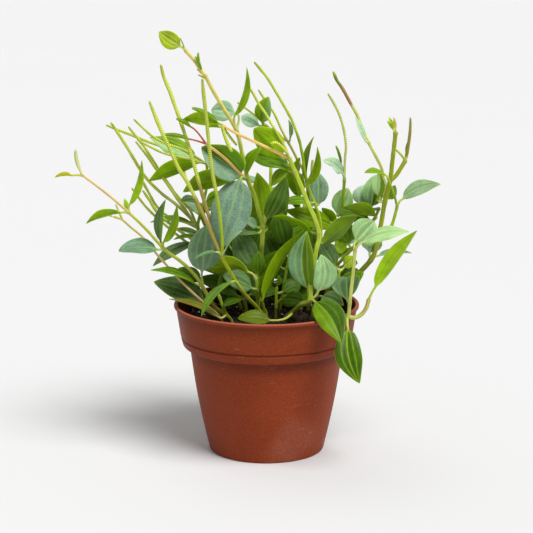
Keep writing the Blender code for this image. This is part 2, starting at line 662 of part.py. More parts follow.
def leaf_shape(root, base, tip, width, turn, fold, bow=0.0, extra=0.0, with_stalk=True):
    """A leaf with its stalk: four points round each station, the blade's two edges and its two faces' middles."""
    along, normal, side = blade_axes(base, tip, turn)
    length = (tip - base).length
    lift = math.radians(fold)
    rings = []
    if with_stalk:
        direction = (base - root).normalized()
        stalk_normal = turned_away(normal, direction)
        stalk_side = direction.cross(stalk_normal)
        half = grown_thickness(STALK_THICKNESS, width) / 2 + extra
        rings.append([
            root + stalk_side * half, root + stalk_normal * half,
            root - stalk_side * half, root - stalk_normal * half,
        ])
    stations = LARGE_STATIONS if length >= LARGE_BLADE else MIDDLE_STATIONS
    if length < SMALL_BLADE:
        stations = SMALL_STATIONS
    thick = grown_thickness(BLADE_THICKNESS, width)
    for t in (0.0, *stations):
        centre = base.lerp(tip, t) + (normal * BLADE_ARCH * length + side * bow) * 4 * t * (1 - t)
        half = max(blade_half_width(t, width), LEAST_HALF_WIDTH) + extra
        edge = normal * math.sin(lift) * half
        reach = side * math.cos(lift) * half
        middle = normal * (thick / 2 * (1.0 if t < THIN_TIP_START else TIP_THINNING) + extra)
        rings.append([centre + reach + edge, centre + middle, centre - reach + edge, centre - middle])
    return loft(rings, tip + along * extra)


def box_of(points):
    low = [min(point[k] for point in points) for k in range(3)]
    high = [max(point[k] for point in points) for k in range(3)]
    return low, high


class Placed:
    """A shape that is already in its place, ready to be tested against."""

    def __init__(self, owner, shape, kind):
        self.owner = owner
        self.kind = kind
        self.low, self.high = box_of(shape[0])
        self.tree = BVHTree.FromPolygons(shape[0], shape[1])


def is_clear(owner, shape, blade, placed):
    """Whether a shape crosses no other stem's pieces, and its blade no other blade of its own stem."""
    low, high = box_of(shape[0])
    tree = BVHTree.FromPolygons(shape[0], shape[1])
    blade_tree = BVHTree.FromPolygons(blade[0], blade[1]) if blade else None
    for other in placed:
        if any(low[k] > other.high[k] or other.low[k] > high[k] for k in range(3)):
            continue
        if other.owner != owner:
            if tree.overlap(other.tree):
                return False
        elif blade_tree and other.kind == "blade" and blade_tree.overlap(other.tree):
            return False
    return True


def walk_stems(plan, start):
    """Each stem and branch of a plan with its smoothed route: (route points, smooth route, plan)."""
    points = [seen(place) for place in plan["route"]]
    full = start + points
    yield points, smooth_route(full, 1 if len(full) > 7 else 2), plan
    for branch in plan.get("branches", []):
        yield from walk_stems(branch, [points[branch["from"]]])


def foot_points(plan):
    x, y = plan["foot"]
    return [Vector((x, y, SOIL_TOP - ROOT_DEPTH)), Vector((x, y, SOIL_TOP + FOOT_RISE))]


def bent_spike(points, root, bend):
    """The spike's route, bent back more and more towards its tip."""
    count = len(points)
    return [root] + [
        point + (point - EYE).normalized() * bend * ((i + 1) / count) for i, point in enumerate(points)
    ]


def place_spikes(owner, plan, points, placed, shapes):
    for start, places, thickness in plan.get("spikes", []):
        targets = [seen(place) for place in places]
        steps = 2 if len(targets) < 5 else 1
        options = []
        for bend in BENDS:
            route = smooth_route(bent_spike(targets, points[start], bend), steps)
            options.append((spike_shape(route, thickness), spike_shape(route, thickness + 2 * CLEARANCE)))
        chosen = next((shape for shape, wide in options if is_clear(owner, wide, None, placed)), None)
        if chosen is None:
            raise RuntimeError(f"{owner} has a spike with no clear place")
        shapes.append(chosen)
        placed.append(Placed(owner, chosen, "spike"))


def leaf_choices(root, base, tip, width, turn, fold, bow=0.0):
    """The leaf as planned, then bent and turned by more and more, then smaller."""
    away = (tip - EYE).normalized()
    moves = sorted(
        ((bend, more) for bend in BENDS for more in TURNS),
        key=lambda move: (abs(move[0]) / 4 + abs(move[1]) / 14, move[0], move[1]),
    )
    for size in LEAF_SIZES:
        for bend, more in moves:
            end = base.lerp(tip, size) + away * bend * size
            yield root, base + away * bend * 0.15, end, width * size, turn + more, fold, bow * size


def place_leaf(owner, leaf, placed, shapes):
    """Adds the leaf in the first of its choices that is clear, and says whether there was one."""
    for choice in leaf_choices(*leaf):
        wide = leaf_shape(*choice, extra=CLEARANCE)
        blade = leaf_shape(*choice, extra=CLEARANCE / 2, with_stalk=False)
        if is_clear(owner, wide, blade, placed):
            shapes.append(leaf_shape(*choice))
            placed.append(Placed(owner, leaf_shape(*choice, with_stalk=False), "blade"))
            placed.append(Placed(owner, leaf_shape(*choice), "leaf"))
            return True
    return False


def rear_plans():
    """The leafy stems at the back: each leans outwards and bears leaf pairs turned a quarter from node to node."""
    draw = random.Random(REAR_SEED)
    for number, (angle, lean, height, pairs, with_spike) in enumerate(REAR_STEMS, 1):
        out = Vector((math.cos(math.radians(angle)), math.sin(math.radians(angle)), 0))
        side = out.cross(Vector((0, 0, 1)))
        foot = out * REAR_FOOT_RADIUS
        points = []
        for i in range(pairs + 1):
            share = (i + 1) / (pairs + 1)
            sway = side * draw.uniform(-3, 3)
            points.append(foot + out * lean * share ** 1.4 + sway + Vector((0, 0, SOIL_TOP + height * share)))
        leaves = []
        for i, point in enumerate(points):
            spread = side if i % 2 else (out + side * 0.4).normalized()
            for sign in (1, -1):
                length = draw.uniform(*REAR_LEAF_LENGTH) * (1.0 if i < pairs else 0.8)
                width = draw.uniform(*REAR_LEAF_WIDTH) * (1.0 if i < pairs else 0.8)
                rise = REAR_RISE if i else REAR_LOW_RISE
                way = spread * sign + out * 0.25 + Vector((0, 0, draw.uniform(*rise)))
                way.normalize()
                base = point + way * 5
                leaves.append((i, base, base + way * length, width, draw.uniform(8, 20)))
        spikes = []
        if with_spike:
            end = points[-1]
            lift = Vector((0, 0, 1)) * 0.8 + out * 0.35
            spikes.append((len(points) - 1, [end + lift * 14, end + lift * 30 + out * 3, end + lift * 44], 2.1))
        yield f"rear_stem_{number}", foot, points, leaves, spikes


def turn_to(base, tip, normal):
    """The turn in degrees that makes the blade's upper face look along normal."""
    along = (tip - base).normalized()
    facing = turned_away(EYE - (base + tip) / 2, along)
    wanted = turned_away(normal, along)
    return math.degrees(math.atan2(wanted.dot(along.cross(facing)), wanted.dot(facing)))


def build_plant():
    """Every leafy stem's shapes by name, and the routes of the stems where they stand in the soil."""
    shapes = {}
    placed = []
    feet = {}
    walks = {}
    for name, plan in LEAFY_STEMS.items():
        shapes[name] = []
        walks[name] = list(walk_stems(plan, foot_points(plan)))
        feet[name] = (walks[name][0][1], plan["thickness"])
        for points, route, part in walks[name]:
            shape = stem_shape(route, part["thickness"])
            shapes[name].append(shape)
            placed.append(Placed(name, shape, "stem"))
    for fixed, shape in (("pot", pot_shape()), ("soil", soil_shape())):
        placed.append(Placed(fixed, shape, fixed))
    rear = list(rear_plans())
    for name, foot, points, leaves, spikes in rear:
        route = smooth_route(foot_points({"foot": foot.xy}) + points, 1)
        feet[name] = (route, REAR_THICKNESS)
        shapes[name] = [stem_shape(route, REAR_THICKNESS)]
        placed.append(Placed(name, shapes[name][0], "stem"))
    for name in LEAFY_STEMS:
        for points, route, part in walks[name]:
            place_spikes(name, part, points, placed, shapes[name])
    for name in LEAFY_STEMS:
        for points, route, part in walks[name]:
            for start, base, tip, *form in part.get("leaves", []):
                leaf = (points[start], seen(base), seen(tip), *form)
                if not place_leaf(name, leaf, placed, shapes[name]):
                    raise RuntimeError(f"{name} has a leaf with no clear place: {tip}")
    for name, foot, points, leaves, spikes in rear:
        for start, spike_points, thickness in spikes:
            shape = spike_shape(smooth_route([points[start]] + spike_points, 4), thickness)
            shapes[name].append(shape)
            placed.append(Placed(name, shape, "spike"))
        for start, base, tip, width, fold in leaves:
            turn = turn_to(base, tip, Vector((0, 0, 1)))
            place_leaf(name, (points[start], base, tip, width, turn, fold), placed, shapes[name])
    return shapes, feet


def new_object(name, shape, collection):
    points, faces = shape
    mesh = bpy.data.meshes.new(name)
    mesh.from_pydata([point * MM for point in points], [], faces)
    mesh.update()
    obj = bpy.data.objects.new(name, mesh)
    collection.objects.link(obj)
    return obj


def apply_boolean(obj, collection, operation):
    """One Boolean of the object with all of a collection, applied, with the collection's objects removed."""
    modifier = obj.modifiers.new(operation.title(), "BOOLEAN")
    modifier.operation = operation
    modifier.operand_type = "COLLECTION"
    modifier.collection = collection
    modifier.solver = "MANIFOLD"
    graph = bpy.context.evaluated_depsgraph_get()
    mesh = bpy.data.meshes.new_from_object(obj.evaluated_get(graph))
    obj.modifiers.clear()
    obj.data = mesh
    for other in list(collection.objects):
        bpy.data.objects.remove(other, do_unlink=True)
    bpy.data.collections.remove(collection)


def helper_collection(name):
    collection = bpy.data.collections.new(name)
    bpy.context.scene.collection.children.link(collection)
    return collection


def joined_node(name, shapes, material):
    """One node from a stem and all that grows from it."""
    obj = new_object(name, shapes[0], bpy.context.scene.collection)
    pieces = helper_collection(name + " pieces")
    for number, shape in enumerate(shapes[1:]):
        new_object(f"{name} piece {number}", shape, pieces)
    apply_boolean(obj, pieces, "UNION")
    obj.data.materials.clear()
    obj.data.materials.append(material)
    obj.data.shade_flat()
    return obj


def turned_shape(profile, sides):
    """A closed solid turned round the Z axis from a closed outline of (radius, height) points off the axis."""
    points = []
    for radius, height in profile:
        for k in range(sides):
            angle = math.tau * k / sides
            points.append(Vector((radius * math.cos(angle), radius * math.sin(angle), height)))
    faces = []
    count = len(profile)
    for i in range(count):
        for k in range(sides):
            low, high = i * sides, ((i + 1) % count) * sides
            j = (k + 1) % sides
            faces.append((low + k, low + j, high + j, high + k))
    return points, faces


def body_radius(height):
    """The pot's outer radius below its step, with the slight swell of its side."""
    share = height / (POT_HEIGHT - BAND_DROP)
    return FOOT_RADIUS + (STEP_RADIUS - FOOT_RADIUS) * share + SIDE_SWELL * math.sin(math.pi * share)


def pot_outline():
    """The outline of the pot's wall and floor, from the hub under its floor out and up, then back down inside."""
    band_foot = POT_HEIGHT - BAND_DROP
    groove = band_foot + GROOVE_RISE
    lip_foot = POT_HEIGHT - LIP_HEIGHT
    outer = [
        (HUB_RADIUS, 0.0),
        (HUB_RADIUS + HUB_FLARE, FLOOR_HEIGHT),
        (FOOT_RADIUS - RING_WIDTH, FLOOR_HEIGHT),
        (FOOT_RADIUS - RING_WIDTH, 0.0),
        (FOOT_RADIUS - EDGE_ROUND, 0.0),
        (body_radius(EDGE_ROUND), EDGE_ROUND),
    ]
    outer += [(body_radius(height), height) for height in (22.0, 46.0, band_foot - STEP_DROP)]
    outer += [
        (BAND_FOOT_RADIUS, band_foot),
        (GROOVE_RADIUS + GROOVE_DEPTH / 2, groove - GROOVE_HALF_WIDTH),
        (GROOVE_RADIUS, groove),
        (GROOVE_RADIUS + GROOVE_DEPTH, groove + GROOVE_HALF_WIDTH),
        (BAND_TOP_RADIUS, lip_foot),
        (RIM_RADIUS, lip_foot + EDGE_ROUND),
        (RIM_RADIUS, POT_HEIGHT - EDGE_ROUND),
        (RIM_RADIUS - EDGE_ROUND, POT_HEIGHT),
    ]
    floor = FLOOR_HEIGHT + WALL
    inner = [
        (RIM_RADIUS - LIP_WIDTH, POT_HEIGHT),
        (INNER_STEP_RADIUS, band_foot + INNER_STEP_RISE),
        (STEP_RADIUS - WALL, band_foot - STEP_DROP),
        (body_radius(POT_HEIGHT / 3) - WALL, POT_HEIGHT / 3),
        (body_radius(floor) - WALL - FLOOR_CORNER, floor),
    ]
    return outer, inner


def closed_disc_shape(outline, sides):
    """A solid turned from an open outline whose ends are closed by a point on the axis."""
    rings = len(outline)
    points, faces = turned_shape(outline, sides)
    faces = faces[:(rings - 1) * sides]
    bottom, top = len(points), len(points) + 1
    points += [Vector((0, 0, outline[0][1])), Vector((0, 0, outline[-1][1]))]
    last = (rings - 1) * sides
    for k in range(sides):
        j = (k + 1) % sides
        faces.append((j, k, bottom))
        faces.append((last + k, last + j, top))
    return points, faces


def pot_shape():
    outer, inner = pot_outline()
    return closed_disc_shape(outer + inner, POT_SIDES)


def build_pot(material):
    pot = new_object("pot", pot_shape(), bpy.context.scene.collection)
    drains = helper_collection("drain holes")
    for k in range(DRAIN_COUNT):
        angle = math.tau * k / DRAIN_COUNT
        centre = Vector((math.cos(angle), math.sin(angle), 0)) * DRAIN_CIRCLE
        outline = [(DRAIN_RADIUS, -WALL), (DRAIN_RADIUS, FLOOR_HEIGHT + 2 * WALL)]
        points, faces = closed_disc_shape(outline, DRAIN_SIDES)
        new_object(f"drain {k}", ([point + centre for point in points], faces), drains)
    apply_boolean(pot, drains, "DIFFERENCE")
    pot.data.materials.clear()
    pot.data.materials.append(material)
    pot.data.shade_smooth()
    pot.data.set_sharp_from_angle(angle=math.radians(32))
    return pot


def soil_height(x, y):
    """The crumbly top of the soil, a little higher in the middle."""
    ripple = math.sin(x * 0.31 + 1.0) * math.cos(y * 0.27) + 0.6 * math.sin(x * 0.12 - y * 0.53)
    return SOIL_TOP - GAP - (x * x + y * y) / SOIL_CROWN + SOIL_ROUGHNESS * ripple


def soil_shape():
    """The root ball and the soil on top of it, a little clear of the pot's wall."""
    _, inner = pot_outline()
    side = [(radius - GAP, height) for radius, height in reversed(inner[1:-1])]
    floor = inner[-1][1] + GAP
    outline = [(inner[-1][0] - GAP, floor)] + side
    wall_slope = (inner[0][0] - inner[1][0]) / (inner[0][1] - inner[1][1])
    edge_height = SOIL_TOP - SOIL_EDGE_DROP
    edge = inner[1][0] + (edge_height - inner[1][1]) * wall_slope - GAP
    outline.append((edge, edge_height))
    flat_rings = len(outline)
    outline += [(edge * share, SOIL_TOP) for share in SOIL_RINGS]
    points, faces = closed_disc_shape(outline, POT_SIDES)
    for i in range(flat_rings * POT_SIDES, len(points)):
        if points[i].z > floor + 1.0:
            points[i].z = soil_height(points[i].x, points[i].y)
    return points, faces


def build_soil(feet, material):
    soil = new_object("soil", soil_shape(), bpy.context.scene.collection)
    holes = helper_collection("stem holes")
    for name, (route, thickness) in feet.items():
        low = route[0] - Vector((0, 0, GAP))
        part = [low] + [point for point in route[1:] if point.z < SOIL_TOP + HOLE_RISE]
        radii = [(thickness[0] / 2 + GAP * 1.5) * CORNER_REACH] * len(part)
        rings = tube_rings(part, radii, 4)
        new_object(name + " hole", loft(rings, part[-1] + (part[-1] - part[-2]).normalized()), holes)
    apply_boolean(soil, holes, "DIFFERENCE")
    soil.data.materials.clear()
    soil.data.materials.append(material)
    soil.data.shade_flat()
    return soil


def main():
    clear_scene()
    shapes, feet = build_plant()
    build_pot(plain_material("terracotta plastic", (0.22, 0.045, 0.02), 0.55))
    build_soil(feet, plain_material("potting soil", (0.02, 0.014, 0.01), 0.95))
    for name, parts in shapes.items():
        joined_node(name, parts, plain_material(f"{name} foliage", (0.12, 0.28, 0.03), 0.45))


main()
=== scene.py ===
"""Looks of a potted beetle peperomia: fine leaves, stems, flower spikes, pot and soil, in the solids' frame.

Lengths are in millimetres until a mesh is made, as in the part's source, whose layout is repeated here.
"""

import json
import math
import random
from collections import namedtuple

import bmesh
import bpy
import numpy as np
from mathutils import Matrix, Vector, kdtree

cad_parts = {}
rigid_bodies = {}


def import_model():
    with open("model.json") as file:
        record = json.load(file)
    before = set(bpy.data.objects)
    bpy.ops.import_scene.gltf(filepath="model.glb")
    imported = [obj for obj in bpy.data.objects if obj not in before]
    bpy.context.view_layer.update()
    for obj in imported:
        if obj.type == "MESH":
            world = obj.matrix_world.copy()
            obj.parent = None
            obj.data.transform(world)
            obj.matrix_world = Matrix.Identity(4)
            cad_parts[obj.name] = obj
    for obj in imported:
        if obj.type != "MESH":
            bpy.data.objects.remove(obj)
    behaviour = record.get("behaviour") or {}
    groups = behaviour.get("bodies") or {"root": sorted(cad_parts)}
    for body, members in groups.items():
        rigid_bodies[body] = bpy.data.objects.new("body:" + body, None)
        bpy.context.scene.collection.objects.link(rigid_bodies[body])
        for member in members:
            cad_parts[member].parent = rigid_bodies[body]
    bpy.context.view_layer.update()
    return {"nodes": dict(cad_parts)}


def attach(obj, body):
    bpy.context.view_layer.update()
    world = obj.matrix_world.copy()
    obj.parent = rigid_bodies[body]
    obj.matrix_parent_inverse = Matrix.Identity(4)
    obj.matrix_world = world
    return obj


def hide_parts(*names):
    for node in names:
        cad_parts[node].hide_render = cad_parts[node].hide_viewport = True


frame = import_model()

MM = 0.001
UP = Vector((0, 0, 1))

# The pot: its rim has a lip, a band with a groove round it, and a step in to the tapering body
POT_HEIGHT = 97.0
RIM_RADIUS = 60.0
LIP_HEIGHT = 2.6
LIP_WIDTH = 2.4
LIP_TAPER = 0.4
LIP_NECK = 0.4
LIP_INSIDE = 2.5
EDGE_ROUND = 0.8
BAND_TOP_RADIUS = 58.5
BAND_FOOT_RADIUS = 54.2
BAND_DROP = 27.0
GROOVE_RADIUS = 55.2
GROOVE_RISE = 5.6
GROOVE_HALF_WIDTH = 0.7
GROOVE_DEPTH = 0.6
GROOVE_LEAN = 0.3
GROOVE_BOTTOM = 0.25
STEP_RADIUS = 50.0
STEP_DROP = 1.2
INNER_STEP_RADIUS = 54.0
INNER_STEP_RISE = 4.0
FOOT_RADIUS = 37.4
SIDE_SWELL = 1.2
WALL = 1.6
FLOOR_HEIGHT = 2.4
FLOOR_MIDDLE = 20.0
INNER_FLOOR = 6.0
FLOOR_CORNER = 1.0
RING_WIDTH = 3.2
HUB_RADIUS = 9.0
HUB_FLARE = 1.0
DRAIN_RADIUS = 4.0
DRAIN_COUNT = 6
DRAIN_CIRCLE = 23.0
DRAIN_EXCESS = 1.0
BAND_FOOT = POT_HEIGHT - BAND_DROP
GROOVE = BAND_FOOT + GROOVE_RISE
LIP_FOOT = POT_HEIGHT - LIP_HEIGHT

# The soil
SOIL_TOP = 88.0
SOIL_EDGE_DROP = 3.0
SOIL_EDGE = (0.9, 0.1)
SOIL_SPREAD = 1.4
SOIL_CROWN = 2200.0
SOIL_ROUGHNESS = 1.2
GAP = 0.3

# The eye point that the places are seen from, and the camera there
EYE = Vector((0.0, -1115.0, 362.0))
CAMERA_DROP = 12.2
SENSOR_WIDTH = 36.0
CAMERA_LENS = SENSOR_WIDTH * 1767.0 / 533.0

# The plant's solids
ROOT_DEPTH = 11.0
FOOT_RISE = 1.5
STALK_THICKNESS = (0.6, 0.12, 1.5)
BLADE_LEAN = 0.92
BLADE_FULLNESS = 0.72
LEAST_HALF_WIDTH = 0.6
LARGE_BLADE = 35.0
LARGE_STATIONS = (0.13, 0.36, 0.60, 0.82)
MIDDLE_STATIONS = (0.16, 0.46, 0.78)
SMALL_BLADE = 16.0
SMALL_STATIONS = (0.24, 0.62)
BLADE_ARCH = 0.07
SPIKE_STALK_WIDTH = 1.05
SHORT_SPIKE = 5

# A leafy stem or a branch: where its foot stands on the soil (x, y), or the route point that a branch grows
# from, its thickness at foot and tip, its route, and what grows from it. A leaf is (route point, start of its
# blade, tip, width, turn, fold): a turn of 0 shows its upper face to the eye, 180 its underside, and the fold
# lifts each half in degrees. Some leaves also have a bow, how far their middle curves sideways. A spike is
# (route point, its own route, thickness).
Stem = namedtuple("Stem", "root thickness route leaves spikes branches", defaults=((), (), ()))
LEAFY_STEMS = {
    "left_reach_stem": Stem((-27, -5), (2.9, 1.5), [
        (-33.5, 94, -6), (-38.5, 102, -7), (-41, 107, -8), (-46.5, 115.5, -9), (-55, 124, -10),
        (-66, 132.5, -11), (-77, 145, -12), (-88, 156, -13), (-101.5, 168, -15), (-117.5, 180.5, -17),
    ], leaves=[
        (1, (-40, 98.5, -3), (-73, 110.8, 2), 18, 30, 10),
        (2, (-41.8, 117.5, -9), (-38.5, 148, -6), 22, 5, 10),
        (2, (-46, 109.5, -11), (-75, 118.5, -14), 14, 113, 15),
        (2, (-43, 110, -2), (-57, 120, 6), 12, 40, 10),
        (5, (-70, 132, -12), (-95.5, 131, -16), 19, 58, 12),
        (5, (-68, 137, -10), (-64.5, 165, -7), 12, -60, 15),
        (5, (-66.5, 136.5, -13), (-57.5, 161.5, -17), 12, 117, 12),
        (7, (-93.5, 156.3, -14), (-116, 149, -17), 13, 112, 15),
        (7, (-88.3, 160.5, -13), (-79.5, 190.5, -11), 10, 117, 12),
        (7, (-89.8, 158.5, -11), (-91, 165.5, -8), 3.5, 30, 10),
        (9, (-124, 180.5, -17), (-135.5, 179, -19), 8, 108, 15),
        (9, (-119, 184, -17), (-121.5, 197.5, -16), 7, -58, 15),
    ]),
    "tan_runner_stem": Stem((-29, -14), (1.7, 1.5), [
        (-38, 94.5, -14), (-45, 101, -14), (-55, 111, -12), (-66, 123.5, -4), (-74, 133, 1), (-80, 140.5, 3),
        (-87, 146.5, 5), (-92.5, 151.5, 6), (-97.5, 153.5, 6),
    ], leaves=[(8, (-99, 153.8, 6), (-105.5, 155, 7), 3.5, 60, 10)], spikes=[
        (7, [(-96.5, 161.5, 8)], 1.3),
    ]),
    "spike_bearer_stem": Stem((-1, -14), (2.9, 2.4), [
        (-6, 93.5, -16), (-12, 100, -19), (-16.5, 106, -21), (-21, 113, -23), (-25.5, 121, -25),
        (-29, 127.5, -26),
    ], leaves=[
        (5, (-32, 130.3, -29), (-46.5, 126, -34), 7, 102, 10),
        (5, (-26.5, 132, -29), (-15.5, 144.5, -36), 7, -75, 10),
        (2, (-22.5, 110.5, -27), (-42.5, 87.5, -41), 10, 55, 32),
        (1, (-16, 99.5, -18), (-28.5, 93.8, -24), 9, 58, 10),
    ], spikes=[
        (5, [
            (-31.5, 133, -28), (-35.5, 143, -29), (-41.5, 157, -30), (-49.5, 174, -30), (-56, 185, -29),
            (-63.5, 202, -27), (-68, 212, -24), (-71.5, 221, -21), (-74, 227.5, -19),
        ], 2.3),
        (5, [
            (-30.5, 134, -24), (-34.5, 147, -23), (-38, 157, -22), (-43.5, 177, -20), (-48, 194, -17),
            (-54, 213.5, -14), (-58, 225, -11), (-61, 234, -9), (-64.7, 243, -7), (-66.5, 250.5, -6),
        ], 2.3),
        (5, [
            (-28.5, 134, -28), (-29, 145, -30), (-31.5, 165, -34), (-35, 185, -37), (-37, 205, -39),
            (-38.5, 221, -41), (-39.7, 232, -42), (-40.5, 242, -43),
        ], 2.2),
    ]),
    "low_centre_stem": Stem((0, -5), (2.6, 2.2), [
        (-2, 94, -5), (-4, 101, -6), (-5.5, 106, -7), (-6.5, 111.5, -7),
    ], leaves=[
        (1, (-2.5, 98.5, -12), (24.5, 145.5, -20), 13, -125, 15),
        (2, (-5, 105, -9), (10, 132, -5), 16, -15, 15, -2.5),
        (3, (-11, 117, -8), (-40, 120, -2), 21, 127, 8),
        (2, (-9.5, 106.5, -10), (-28.5, 115, -15), 15, 48, 10),
        (3, (-8.5, 121, -5), (-20, 144, 2), 16, 5, 10),
        (3, (-5.5, 115, -4), (-5, 131, 3), 10, 20, 10),
    ]),
    "tall_main_stem": Stem((-6, 8), (3.7, 2.3), [
        (-5.5, 98, 8), (-4.5, 112, 6), (-3.5, 128, 2), (-2.5, 147, -2), (-5, 157, -4), (-8, 168, -6),
        (-12, 178, -8), (-15, 192, -9), (-19, 209, -10), (-27, 223, -10), (-33.5, 234, -9),
        (-38.5, 243.5, -8), (-45, 253, -7), (-51, 260, -6),
    ], leaves=[
        (3, (0, 152.5, -5), (12.5, 180, -10), 15, 22, 18),
        (3, (-5.5, 142.8, -5), (-19, 141.5, -12), 10, 65, 10),
        (3, (-6, 146.8, -3), (-14, 152, -6), 8, 40, 10),
        (3, (-1.5, 155, 3), (-6, 182.5, 8), 13, 160, 8),
        (6, (-16.5, 178.5, -12), (-29.5, 133, -22), 25, 3, 5),
        (6, (-16, 180.2, -10), (-41.5, 198.8, -15), 27, 5, 40),
        (6, (-13.5, 180.5, -9), (-3, 199, -13), 11, -50, 20),
        (6, (-21, 180, -3), (-53.5, 169.5, 8), 18, 135, 10),
        (8, (-20.3, 218.5, -11), (-12.5, 249.8, -13), 10, 117, 12, -2),
        (8, (-19.5, 220.5, -5), (-35, 222.5, 1), 14, 10, 10),
        (11, (-41, 247.5, -8), (-45, 256.5, -9), 3.4, 40, 15),
        (11, (-41.5, 249, -7), (-43, 259, -5), 3, -40, 15),
        (11, (-40.5, 245, -7), (-44, 248.5, -5), 2.6, 30, 15),
        (11, (-40, 243, -7), (-43.2, 244.5, -4), 2.4, 30, 15),
        (13, (-53.7, 262.3, -6), (-67.6, 271.5, -5), 11.5, -12, 12),
        (13, (-52, 262.5, -6), (-54.5, 268, -5), 2.4, 20, 15),
    ], branches=[
        Stem(6, (2.2, 1.9), [
            (-17, 182, -11), (-26.5, 191.5, -18), (-32, 196, -19), (-38.5, 200.8, -18),
        ], leaves=[
            (3, (-50, 204, -19), (-66, 206.5, -20), 4.6, 100, 50),
            (3, (-48.5, 212, -18), (-57.5, 217, -19), 4.4, 100, 50),
        ]),
    ]),
    "front_main_stem": Stem((12, -16), (3.6, 2.9), [
        (17, 90, -21), (22.5, 95.5, -27), (28, 98.5, -31), (28.5, 110, -31), (30.5, 122, -30),
        (32, 132, -28), (33.8, 141.5, -26), (31, 152, -24), (27, 161, -22), (23.5, 170, -20),
        (18.5, 182, -18), (14.5, 191.5, -17),
    ], leaves=[
        (0, (2.5, 85, -46), (-19, 86.3, -47), 13, 48, 10),
        (2, (27, 106, -30), (26, 144.3, -29), 18, -12, 20, -3),
        (2, (33.3, 104.5, -32), (35.3, 129, -31), 15, 8, 8, 3.5),
        (2, (31.5, 97.3, -38), (49, 69.5, -66), 18, -4, 10, -3),
        (6, (36, 136.5, -22), (58.5, 154.5, -12), 18, -128, 10, -3),
        (6, (29, 143.5, -23), (3.5, 153.5, -18), 19, 125, 10),
        (10, (14, 183.5, -15), (-1.5, 189.5, -12), 9, 60, 12),
        (11, (10, 192, -13), (-8, 211, -11), 18, 160, 8),
        (11, (14.5, 184.5, -12), (3, 173.5, -8), 11, 50, 12),
    ], spikes=[
        (11, [
            (12, 198, -14), (7.5, 206, -12), (0, 219, -9), (-5, 226.5, -7), (-8.5, 233, -5),
            (-13, 239.5, -3),
        ], 1.6),
        (11, [(12.5, 195.5, -19), (9, 199.5, -21), (5.5, 201.5, -22), (2.5, 200.5, -23)], 1.8),
    ], branches=[
        Stem(11, (2.2, 1.8), [
            (4, 196.5, -19), (-8, 202.3, -20), (-20, 208, -21), (-28.5, 213, -21),
        ], leaves=[
            (3, (-31, 214.5, -22), (-47.5, 223.8, -24), 4.8, 100, 50),
            (3, (-31, 213.8, -20), (-53.5, 216, -16), 12, 118, 12),
            (3, (-30, 211.5, -22), (-37.5, 211.5, -26), 6, 115, 10),
        ], spikes=[
            (3, [(-26.5, 206, -23), (-24.5, 200.5, -24), (-22, 195.5, -24)], 2.1),
            (3, [(-23, 205, -19), (-19, 200, -17)], 1.5),
        ]),
    ]),
    "trailing_stem": Stem((33, -21), (2.6, 2.3), [
        (38, 94, -27), (45.5, 91, -35), (52.5, 88, -41), (53.8, 96, -42), (55, 108, -43), (56.2, 120, -43),
        (57, 131.5, -43),
    ], leaves=[
        (2, (53, 79.5, -47), (61, 42.5, -61), 17, -5, 10, 3.5),
        (3, (52.6, 98.5, -38), (52, 114, -20), 22, -8, 32),
        (6, (57, 137, -44), (69, 150.8, -38), 19, 12, 12),
        (6, (61.5, 136.5, -46), (92, 143.8, -50), 13, -48, 12),
    ], branches=[
        Stem(2, (2.5, 2.3), [
            (57, 86.8, -43), (61.5, 89, -44), (64.8, 93.5, -45), (66.3, 99, -46),
        ], leaves=[(3, (70, 106.5, -47), (97, 144.8, -52), 12, -140, 10)]),
    ]),
    "behind_centre_stem": Stem((20, 14), (2.4, 1.7), [
        (24, 105, 14), (28, 125, 13), (28.5, 145, 12), (27, 165, 10), (24, 182, 8), (20, 190, 7),
        (16.5, 197, 6), (14, 201.5, 5),
    ], leaves=[
        (7, (15, 204, 4), (13.8, 216.5, 3), 5, 55, 15),
        (4, (19, 177, 8), (21.3, 192.3, 4), 9, -130, 12),
        (3, (21, 166, 6), (13, 187, 0), 13, 150, 10),
        (5, (14.5, 187, 8), (-13, 194, 13), 13, 25, 10),
    ], spikes=[
        (6, [(12, 205, 9), (9.5, 210, 10), (5, 220, 12), (0, 227.5, 14), (-5, 235, 16)], 1.5),
    ], branches=[
        Stem(7, (1.5, 1.4), [(8, 206.5, 4), (0, 212.5, 4), (-8, 219.5, 5), (-18, 227, 6)], leaves=[
            (1, (-5, 212.5, 6), (-16, 218.5, 11), 10, 20, 8),
            (1, (-2.5, 214, 2), (1.5, 231, 0), 13, -20, 30),
        ]),
    ]),
    "centre_right_stem": Stem((30, 3), (2.6, 2.0), [
        (32, 100, 3), (34.5, 125, 2), (35, 145, 1), (33.5, 155, 1), (30.5, 163, 1), (26.5, 173, 1),
    ], leaves=[
        (0, (36, 101, -2), (50, 95, -12), 12, -25, 10),
        (4, (33.3, 161.5, 3), (33, 182.5, 8), 13, 8, 10),
        (4, (28.5, 162.5, -4), (10.5, 162, -10), 12, 62, 12),
        (5, (25.3, 180, 3), (30.3, 205.8, 7), 9, -65, 12),
        (5, (25, 174, -2), (32.3, 199.3, -6), 11, 120, 12, -2.5),
    ], spikes=[
        (5, [
            (24, 185, 0), (23.3, 191, 0), (22, 198, -1), (20.5, 204, -2), (17, 214, -4), (14, 220, -6),
            (10, 227, -8), (5, 235.5, -10), (0, 243.5, -12), (-7.5, 252.5, -15),
        ], 1.8),
    ]),
    "right_vertical_stem": Stem((40, 20), (2.7, 2.2), [
        (42, 105, 19), (45, 125, 17), (47.5, 143, 15), (48.5, 156, 14), (49.2, 168, 13), (49.8, 178, 12),
    ], leaves=[
        (1, (43, 127.5, 12), (35, 130, 6), 9, 50, 10),
        (2, (43.8, 149, 12), (35.5, 159.5, 7), 9, 135, 10),
        (2, (49.5, 143, 12), (47.5, 129, 5), 9, 160, 10),
